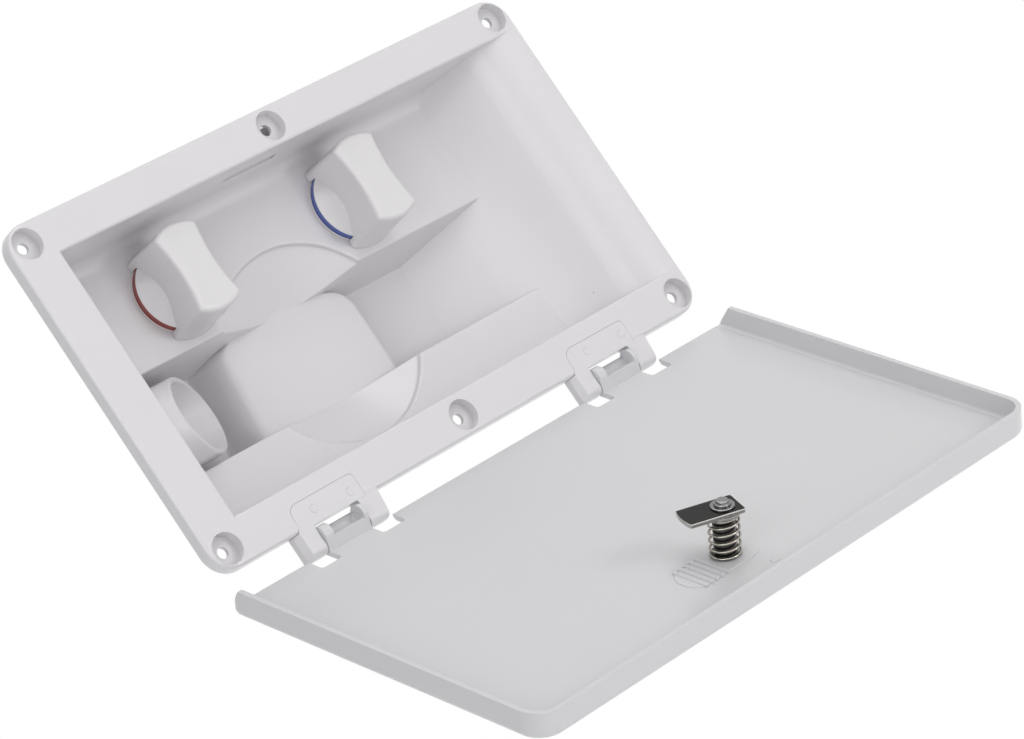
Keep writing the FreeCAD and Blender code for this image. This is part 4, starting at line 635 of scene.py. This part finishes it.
@dataclass
class LatchSpring:
    """The latch's compression spring, between the door's pad and the washer under the cam.

    Args:
        palette: The finishes.
        coil_radius: Radius of the wire's centre line.
        wire: Wire diameter.
        foot: Height of the lowest wire's centre over the door's inner face.
        head: Height of the highest wire's centre over the door's inner face.
        turns: Turns from end to end.
        closed: Share of a turn at each end that lies almost flat.
        closed_rise: Height that each closed end takes.
        lift: How far the latch pulls out; not used.
        sides: Faces round the wire.
        steps: Rings of faces in a turn.
    """

    palette: Palette
    coil_radius: float = 0.0066
    wire: float = 0.0011
    foot: float = 0.00118
    head: float = 0.02002
    turns: float = 6.1
    closed: float = 0.85
    closed_rise: float = 0.00118
    lift: float = 0.003
    sides: int = 16
    steps: int = 40

    def build(self, latch: dict) -> None:
        """Wind the wire and put it in the CAD spring's place.

        Args:
            latch: The record's joint that the latch turns on.
        """
        base, up = Vector(latch["pos_m"]), Vector(latch["axis"]).normalized()
        across = Vector((1.0, 0.0, 0.0))
        aside = up.cross(across)
        count = round(self.turns * self.steps)
        centres = []
        for index in range(count + 1):
            angle = index / self.steps * math.tau
            spoke = across * math.cos(angle) + aside * math.sin(angle)
            centres.append(base + spoke * self.coil_radius + up * self._height(index / self.steps))
        thing = sweep("wound_spring", centres, up, self.wire / 2.0, self.sides)
        thing.data.materials.append(self.palette.material(Palette.SPRING))
        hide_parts("latch_spring")
        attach(thing, "door")
        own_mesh(thing)
        LOG.info("latch spring with %.1f turns of wire", self.turns)

    def _height(self, turned: float) -> float:
        """Height of the wire after so many turns: slow over each closed end and steady between them.

        Args:
            turned: Turns from the foot.

        Returns:
            The height over the door's inner face.
        """
        middle = self.turns - 2.0 * self.closed
        low, high = self.foot + self.closed_rise, self.head - self.closed_rise
        if turned < self.closed:
            share = turned / self.closed
            return self.foot + self.closed_rise * share * share
        if turned > self.turns - self.closed:
            share = (self.turns - turned) / self.closed
            return self.head - self.closed_rise * share * share
        share = (turned - self.closed) / middle
        return low + (high - low) * share


@dataclass(frozen=True)
class Recess:
    """Sizes of the moulded recess that its forms are built on.

    Args:
        flange_face: Depth of the flange's face.
        shelf: Depth of the shelf's face.
        floor: Depth of the pocket's floor.
        top: Height of the pocket's upper edge.
        bottom: Height of the pocket's lower edge.
        opening_bottom: Height of the recess's lower wall.
        corner_round: Radius between that wall and the low shelf.
        centre: Centre of the finger well along the unit.
        middle: Height of the well's centre.
        well_radius: Radius of the well's rim.
        well_rim: Depth of the dish at the rim.
        well_flat: Radius of the dish's flat middle.
        well_depth: Depth of the dish's flat middle.
        left_start: Where the slanted left wall leaves the flange's face.
        left_run: How far it comes in.
        left_depth: Depth over which it does.
        ramp_start: Where the ramp on the right leaves the shelf.
        ramp_run: How far it comes in.
        ramp_depth: Depth over which it does.
        buried: How far the forms reach into the moulding that carries them.
    """

    flange_face: float = -0.0073
    shelf: float = 0.0327
    floor: float = 0.0647
    top: float = 0.012
    bottom: float = -0.039
    opening_bottom: float = -0.0675
    corner_round: float = 0.0105
    centre: float = -0.0125
    middle: float = -0.0135
    well_radius: float = 0.0495
    well_rim: float = 0.0352
    well_flat: float = 0.025
    well_depth: float = 0.0477
    left_start: float = -0.133
    left_run: float = 0.0265
    left_depth: float = 0.072
    ramp_start: float = 0.112
    ramp_run: float = 0.0395
    ramp_depth: float = 0.032
    buried: float = 0.0004

    def dish(self, x: float, z: float) -> float:
        """Depth of the finger well's dish.

        Args:
            x: Place along the unit.
            z: Height.

        Returns:
            The dish's depth there, or the shelf's outside the well.
        """
        away = math.hypot(x - self.centre, z - self.middle)
        if away > self.well_radius:
            return self.shelf
        slope = (self.well_radius - away) / (self.well_radius - self.well_flat)
        return self.well_rim + (self.well_depth - self.well_rim) * min(1.0, slope)

    def end(self, x: float) -> float:
        """Depth just inside the moulding at the ramp on the right or the slanted wall on the left.

        Args:
            x: Place along the unit.

        Returns:
            The lesser depth of the two.
        """
        ramp = self.shelf + (self.ramp_start - x) * self.ramp_depth / self.ramp_run
        left = (x - self.left_start) * self.left_depth / self.left_run + self.flange_face
        return min(ramp, left) + 2.0 * self.buried


@dataclass(frozen=True)
class RecessForm:
    """A form of the moulding that stands in its recess.

    Args:
        palette: The finishes.
        recess: Sizes of the recess.
    """

    palette: Palette
    recess: Recess

    def shape(self) -> bpy.types.Object:
        """Make the form's mesh.

        Returns:
            Its object.
        """
        raise NotImplementedError

    def build(self) -> None:
        """Make the form, finish it and let it ride the moulding."""
        thing = self.shape()
        thing.data.materials.append(self.palette.material(Palette.MOULDING))
        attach(thing, "wall_box")
        LOG.info("recess form %s", thing.name)


@dataclass(frozen=True)
class SlantedWall(RecessForm):
    """The wall under the shelf, which leans down towards the pocket's floor and stops at the dish.

    Args:
        foot_drop: How far its foot lies under its top edge.
        edge_drop: How far its top edge lies under the pocket's.
        edge_in: How far behind the shelf's face its top edge lies.
        left: Where its grid starts.
        column: Width of the grid's columns.
        columns: Lines across the grid.
        row: Height of the grid's rows.
        rows: Lines up the grid.
        behind_dish: How far behind the dish's surface it ends.
        soften: How much the line between wall and dish is softened.
        back_in: How far behind the shelf's face its back starts.
        back_slope: How steeply the back runs to the floor.
        thinnest: Its least thickness.
    """

    foot_drop: float = 0.0063
    edge_drop: float = 0.0001
    edge_in: float = 0.0016
    left: float = -0.1185
    column: float = 0.001
    columns: int = 231
    row: float = 0.00014
    rows: int = 49
    behind_dish: float = 0.00002
    soften: float = 0.0003
    back_in: float = 0.0023
    back_slope: float = 16.0
    thinnest: float = 0.0002

    def shape(self) -> bpy.types.Object:
        """Make the wall as a field of depths, closed behind.

        Returns:
            Its object.
        """
        start = self.recess.top + self.recess.buried
        heights = [start - self.row * index for index in range(self.rows)]
        shell = bmesh.new()
        front, back = [], []
        for index in range(self.columns):
            x = self.left + self.column * index
            near, far = [], []
            for z in heights:
                depth = self._front(x, z)
                behind = max(self._back(x, start - z), depth + self.thinnest)
                near.append(shell.verts.new((x, depth, z)))
                far.append(shell.verts.new((x, behind, z)))
            front.append(near)
            back.append(far)
        close_grids(shell, front, back)
        return mesh_piece("slanted_pocket_wall", shell)

    def _front(self, x: float, z: float) -> float:
        """Depth of the wall's front: the deeper one of its slope and the dish, with a soft line between them.

        Args:
            x: Place along the unit.
            z: Height.

        Returns:
            The depth.
        """
        recess = self.recess
        lip = recess.shelf + self.edge_in
        steepness = (recess.floor - lip) / self.foot_drop
        wall = lip + max(0.0, recess.top - self.edge_drop - z) * steepness
        dish = recess.dish(x, z) + self.behind_dish
        deeper = (wall + dish + math.hypot(wall - dish, self.soften)) / 2.0
        return min(deeper, recess.end(x), recess.floor + recess.buried)

    def _back(self, x: float, drop: float) -> float:
        """Depth of the wall's back.

        Args:
            x: Place along the unit.
            drop: Height under the grid's top.

        Returns:
            The depth.
        """
        recess = self.recess
        slope = recess.shelf + self.back_in + drop * self.back_slope
        return min(recess.floor + 2.0 * recess.buried, slope, recess.end(x) + recess.buried)


@dataclass(frozen=True)
class WellBlock(RecessForm):
    """The block in the pocket, which closes the finger well between the shelf and the low shelf.

    Its face is level with the dish's flat middle. Its left side slopes and its right side is upright.

    Args:
        left: Left end of its face at its top.
        right: Its right side.
        lean: How much further left the face reaches at its bottom.
        proud: How far its face stands in front of the dish.
        below: How far it reaches under the pocket.
        above: How far it reaches over the pocket.
        left_slope: Width of its sloping left side.
        right_soft: Radius of its right edge.
        right_draft: How much wider its right side is at the floor.
        left_corner: Radius of its top left corner.
        right_corner: Radius of its top right corner.
        corner_drop: How far under the pocket's top edge the corners end.
        rows: Steps up the block.
        steps: Steps round each side.
    """

    left: float = -0.0500
    right: float = 0.0268
    lean: float = 0.0045
    proud: float = 0.0002
    below: float = 0.0008
    above: float = 0.0002
    left_slope: float = 0.0165
    right_soft: float = 0.0034
    right_draft: float = 0.0006
    left_corner: float = 0.006
    right_corner: float = 0.0125
    corner_drop: float = 0.0032
    rows: int = 88
    steps: int = 24

    def shape(self) -> bpy.types.Object:
        """Skin the block's sections from its bottom to its top.

        Returns:
            Its object.
        """
        low, high = self.recess.bottom - self.below, self.recess.top + self.above
        shell = bmesh.new()
        rings = []
        for row in range(self.rows + 1):
            share = row / self.rows
            z = low + (high - low) * share
            rings.append([shell.verts.new((x, y, z)) for x, y in self._section(z, share)])
        skin_rings(shell, rings, smooth_back=False)
        return mesh_piece("well_block", shell)

    def _section(self, z: float, share: float) -> list[tuple[float, float]]:
        """Outline of the block at a height, from the foot of its left slope to the foot of its right side.

        Args:
            z: The height.
            share: How far up the block that is, from 0 to 1.

        Returns:
            Points as (x, y).
        """
        face = self.recess.well_depth - self.proud
        deep = self.recess.floor + self.recess.buried - face
        left = self.left - self.lean * (1.0 - share) + self._drawn_in(z, self.left_corner)
        right = self.right - self._drawn_in(z, self.right_corner)
        points = []
        for step in range(self.steps + 1):
            fall = 1.0 - step / self.steps
            y = face + deep * (1.0 - math.cos(math.pi * fall)) / 2.0
            points.append((left - self.left_slope * fall, y))
        for step in range(self.steps + 1):
            angle = math.pi / 2.0 * (1.0 - step / self.steps)
            x = right - self.right_soft * (1.0 - math.cos(angle))
            points.append((x, face + self.right_soft * (1.0 - math.sin(angle))))
        points.append((right + self.right_draft, face + deep))
        return points

    def _drawn_in(self, z: float, radius: float) -> float:
        """How far a side of the block is drawn in near its top end, for a round corner.

        Args:
            z: Height.
            radius: Radius of the corner.

        Returns:
            The distance.
        """
        over = min(radius, max(0.0, z - (self.recess.top - self.corner_drop - radius)))
        return radius - math.sqrt(radius * radius - over * over)


@dataclass(frozen=True)
class CornerWall(RecessForm):
    """The wall in the rounding between the low shelf and the recess's lower wall, up to the well's rim.

    Args:
        inside: Depths inside the wall of its front and back.
        reach: How far it runs to either side of the well's centre.
        sink: How far its free edges dip into the wall.
        columns: Steps along it.
        steps: Steps round the corner.
    """

    inside: Span = (-0.00003, 0.0024)
    reach: float = 0.031
    sink: float = 0.0004
    columns: int = 40
    steps: int = 20

    def shape(self) -> bpy.types.Object:
        """Make the front and back as grids round the corner, and close them.

        Returns:
            Its object.
        """
        shell = bmesh.new()
        front, back = (self._grid(shell, inside) for inside in self.inside)
        close_grids(shell, front, back)
        return mesh_piece("low_corner_wall", shell)

    def _grid(self, shell: bmesh.types.BMesh, inside: float) -> Grid:
        """One of the two surfaces, from the well's rim or the shelf down to the lower wall.

        Args:
            shell: The mesh.
            inside: Its depth inside the wall.

        Returns:
            Columns of vertices.
        """
        recess = self.recess
        foot = recess.opening_bottom + recess.corner_round
        grid = []
        for column in range(self.columns + 1):
            away = self.reach * (2.0 * column / self.columns - 1.0)
            rim = recess.middle - math.sqrt(recess.well_radius ** 2 - away ** 2)
            line = []
            for step in range(self.steps + 1):
                free = column in (0, self.columns) or step == self.steps or (step == 0 and rim > foot)
                radius = recess.corner_round + inside + (self.sink if free and inside < 0.0 else 0.0)
                start = math.asin((foot - min(foot, rim)) / radius)
                angle = start + (math.pi / 2.0 - start) * step / self.steps
                y = recess.shelf - recess.corner_round + radius * math.cos(angle)
                line.append(shell.verts.new((recess.centre + away, y, foot - radius * math.sin(angle))))
            grid.append(line)
        return grid


@dataclass(frozen=True)
class MouldMarks:
    """Small raised crescents that the mould leaves on the flange, the hinge clips and the door.

    Args:
        palette: The finishes.
        radius: Radius of a crescent.
        line: Width of its line.
        sweep_angle: How far it runs round.
        turn: Angle at which it starts.
        flange_face: Depth of the flange's face.
        flange_places: Places of the crescents on the flange as (x, z).
        door_place: Place of the crescent on the door, from the latch along the door's width and length.
        steps: Steps along a crescent.
        sides: Faces round its line.
    """

    palette: Palette
    radius: float = 0.0019
    line: float = 0.00045
    sweep_angle: float = math.radians(250.0)
    turn: float = math.radians(70.0)
    flange_face: float = -0.0073
    flange_places: tuple[Span, ...] = (
        (-0.0963, -0.0817), (-0.0753, -0.0831), (0.0797, -0.0811), (0.1023, -0.0819))
    door_place: Span = (0.0089, 0.0195)
    steps: int = 28
    sides: int = 8

    def build(self, latch: dict) -> None:
        """Make every crescent.

        Args:
            latch: The record's joint that the latch turns on.
        """
        across, out = Vector((1.0, 0.0, 0.0)), Vector((0.0, -1.0, 0.0))
        for number, (x, z) in enumerate(self.flange_places, start=1):
            centre = Vector((x, self.flange_face, z))
            self._crescent(f"flange_mark_{number}", centre, across, out, "wall_box",
                           Palette.MOULDING)
        inner = Vector(latch["axis"]).normalized()
        along = across.cross(inner)
        centre = Vector(latch["pos_m"]) + across * self.door_place[0] + along * self.door_place[1]
        self._crescent("door_mark", centre, across, inner, "door", Palette.DOOR)

    def _crescent(self, name: str, centre: Vector, across: Vector, out: Vector, body: str,
                  finish: Finish) -> None:
        """One crescent, half sunk in its surface.

        Args:
            name: The piece's name.
            centre: Its centre on the surface.
            across: A direction in the surface.
            out: The surface's outward direction.
            body: The body that carries it.
            finish: Its finish.
        """
        aside = out.cross(across)
        angles = [self.turn + self.sweep_angle * step / self.steps for step in range(self.steps + 1)]
        line = [centre + (across * math.cos(a) + aside * math.sin(a)) * self.radius for a in angles]
        thing = sweep(name, line, out, self.line / 2.0, self.sides)
        thing.data.materials.append(self.palette.material(finish))
        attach(thing, body)


@dataclass
class Unit:
    """The CAD nodes of the shower unit and their finishes.

    Args:
        palette: The finishes.
    """

    palette: Palette

    def dress(self, nodes: dict[str, bpy.types.Object]) -> None:
        """Give every CAD node its material.

        Args:
            nodes: The frame's nodes by name.
        """
        for name, thing in nodes.items():
            material = self.palette.material(self.palette.finish_of(name))
            if not thing.material_slots:
                thing.data.materials.append(material)
            for slot in thing.material_slots:
                slot.link = "OBJECT"
                slot.material = material
            LOG.info("finish %s on %s", material.name, name)


@dataclass(frozen=True)
class SoftLight:
    """One soft square light.

    Args:
        name: Its name.
        towards: Direction from the unit to the light.
        distance: How far it stands from the unit, in metres.
        size: Side of the square, in metres.
        power: Its power in watts.
        colour: Its colour.
    """

    name: str
    towards: XYZ
    distance: float
    size: float
    power: float
    colour: RGB

    def build(self, aim: Vector) -> None:
        """Put the light up.

        Args:
            aim: Where it points.
        """
        lamp = bpy.data.lights.new(self.name, "AREA")
        lamp.shape = "SQUARE"
        lamp.size = self.size
        lamp.energy = self.power
        lamp.color = self.colour
        direction = Vector(self.towards).normalized()
        thing = bpy.data.objects.new(self.name, lamp)
        thing.location = aim + direction * self.distance
        thing.rotation_euler = direction.to_track_quat("Z", "Y").to_euler()
        bpy.context.scene.collection.objects.link(thing)
        LOG.info("light %s at %s", self.name, tuple(round(value, 3) for value in thing.location))


@dataclass
class Studio:
    """White surroundings, a pale floor and soft lights.

    Args:
        ambient: Strength of the even light from all round.
        lights: The soft lights.
        aim: Where the lights point.
        floor_height: Height of the floor.
        floor_size: Side of the floor.
        floor_colour: Its colour.
        floor_glow: How much white the camera sees on top of the floor's own light.
        floor_fill: How much even light the floor sends up to the unit.
        white: What the camera sees around the unit.
        light_below: Tint of the even light from below.
        light_above: Its tint from above.
    """

    ambient: float = 0.345
    lights: tuple[SoftLight, ...] = (
        SoftLight("key", (0.1, -1.0, 0.8), 1.9, 1.4, 11.2, (1.0, 0.995, 0.985)),
        SoftLight("left", (-1.0, -0.6, 0.0), 1.9, 1.4, 11.4, (0.985, 0.99, 1.0)),
        SoftLight("top", (0.0, -0.3, 1.0), 1.9, 1.4, 7.2, (1.0, 1.0, 1.0)),
        SoftLight("low_front", (0.35, -1.0, -0.22), 1.2, 0.3, 2.6, (1.0, 0.99, 0.98)),
    )
    aim: Vector = field(default_factory=lambda: Vector((0.0, 0.0, -0.05)))
    floor_height: float = -0.36
    floor_size: float = 9.0
    floor_colour: RGB = (0.80, 0.80, 0.81)
    floor_glow: float = 0.80
    floor_fill: float = 0.20
    white: RGBA = (1.0, 1.0, 1.0, 1.0)
    light_below: RGBA = (0.93, 0.94, 1.0, 1.0)
    light_above: RGBA = (1.0, 0.99, 0.97, 1.0)

    def build(self) -> None:
        """Make the world, the floor and the lights."""
        self._world()
        self._floor()
        for light in self.lights:
            light.build(self.aim)

    @staticmethod
    def _seen(graph: Graph) -> bpy.types.NodeSocket:
        """Whether a ray comes from the camera, straight or by way of gloss or glass.

        Args:
            graph: The graph that asks.

        Returns:
            A socket that is 1 for such rays.
        """
        paths = graph.add("ShaderNodeLightPath")
        direct = graph.math("MAXIMUM", paths.outputs["Is Camera Ray"], paths.outputs["Is Glossy Ray"])
        return graph.math("MAXIMUM", direct, paths.outputs["Is Transmission Ray"])

    def _world(self) -> None:
        """White to the camera, softer and slightly graded to everything else."""
        world = bpy.data.worlds.new("studio")
        world.use_nodes = True
        bpy.context.scene.world = world
        graph = Graph(world.node_tree)
        seen = graph.add("ShaderNodeBackground")
        graph.feed(seen, "Color", self.white)
        graph.feed(seen, "Strength", 1.0)
        soft = graph.add("ShaderNodeBackground")
        around = graph.add("ShaderNodeTexCoord").outputs["Generated"]
        height = graph.spread(graph.axis(around, "Z"), 0.0, 1.0, -1.0, 1.0)
        graph.feed(soft, "Color", graph.tint(height, self.light_below, self.light_above))
        graph.feed(soft, "Strength", self.ambient)
        pick = graph.add("ShaderNodeMixShader")
        graph.feed(pick, 0, self._seen(graph))
        graph.feed(pick, 1, soft.outputs[0])
        graph.feed(pick, 2, seen.outputs[0])
        output = graph.add("ShaderNodeOutputWorld")
        graph.feed(output, "Surface", pick.outputs[0])

    def _floor(self) -> None:
        """A plain pale floor under the unit, which keeps its shadow."""
        half = self.floor_size / 2.0
        sheet = bmesh.new()
        corners = [sheet.verts.new((x, y, self.floor_height))
                   for x, y in ((-half, -half), (half, -half), (half, half), (-half, half))]
        sheet.faces.new(corners)
        mesh = bpy.data.meshes.new("studio_floor")
        sheet.to_mesh(mesh)
        sheet.free()
        material = bpy.data.materials.new("floor_paper")
        material.use_nodes = True
        graph = Graph(material.node_tree)
        paper = graph.add("ShaderNodeBsdfDiffuse")
        graph.feed(paper, "Color", (*self.floor_colour, 1.0))
        glow = graph.add("ShaderNodeEmission")
        extra = self.floor_glow - self.floor_fill
        graph.feed(glow, "Strength", graph.math("MULTIPLY_ADD", self._seen(graph), extra, self.floor_fill))
        both = graph.add("ShaderNodeAddShader")
        graph.feed(both, 0, paper.outputs[0])
        graph.feed(both, 1, glow.outputs[0])
        output = graph.add("ShaderNodeOutputMaterial")
        graph.feed(output, "Surface", both.outputs[0])
        mesh.materials.append(material)
        thing = bpy.data.objects.new("studio_floor", mesh)
        bpy.context.scene.collection.objects.link(thing)
        LOG.info("floor at %.2f", self.floor_height)


@dataclass(frozen=True)
class PhotoCamera:
    """The photograph's camera, found from the flange's outline and screw holes.

    Args:
        place: Where it stands.
        right: Direction of the picture's right.
        up: Direction of the picture's top.
        back: Direction from the subject to the camera.
        lens: Focal length, in millimetres.
        sensor: Width of the sensor, in millimetres.
        nearest: Where its view starts.
    """

    place: XYZ = (-1.14521, -1.48956, -0.25157)
    right: XYZ = (0.6826, -0.4773, -0.5534)
    up: XYZ = (0.3855, -0.4081, 0.8276)
    back: XYZ = (-0.6208, -0.7783, -0.0945)
    lens: float = 148.28
    sensor: float = 36.0
    nearest: float = 0.05

    def build(self) -> None:
        """Make it the scene's camera."""
        data = bpy.data.cameras.new("photo_camera")
        data.lens = self.lens
        data.sensor_width = self.sensor
        data.clip_start = self.nearest
        camera = bpy.data.objects.new("photo_camera", data)
        turn = Matrix((self.right, self.up, self.back)).transposed().to_quaternion().to_matrix()
        camera.matrix_world = Matrix.Translation(Vector(self.place)) @ turn.to_4x4()
        bpy.context.scene.collection.objects.link(camera)
        bpy.context.scene.camera = camera
        LOG.info("camera at %s", self.place)


def main() -> None:
    """Set the camera and the light, dress the frame and add the scene's own pieces."""
    PhotoCamera().build()
    Studio().build()
    palette = Palette()
    Unit(palette).dress(frame["nodes"])
    joints = frame["record"]["behaviour"]["joints"]
    latch = next(joint for joint in joints if joint["name"] == "latch_turn")
    LatchSpring(palette).build(latch)
    recess = Recess()
    for form in (SlantedWall(palette, recess), WellBlock(palette, recess), CornerWall(palette, recess)):
        form.build()
    MouldMarks(palette).build(latch)
    bpy.context.scene.view_settings.view_transform = "Standard"


if __name__ == "__main__":
    main()
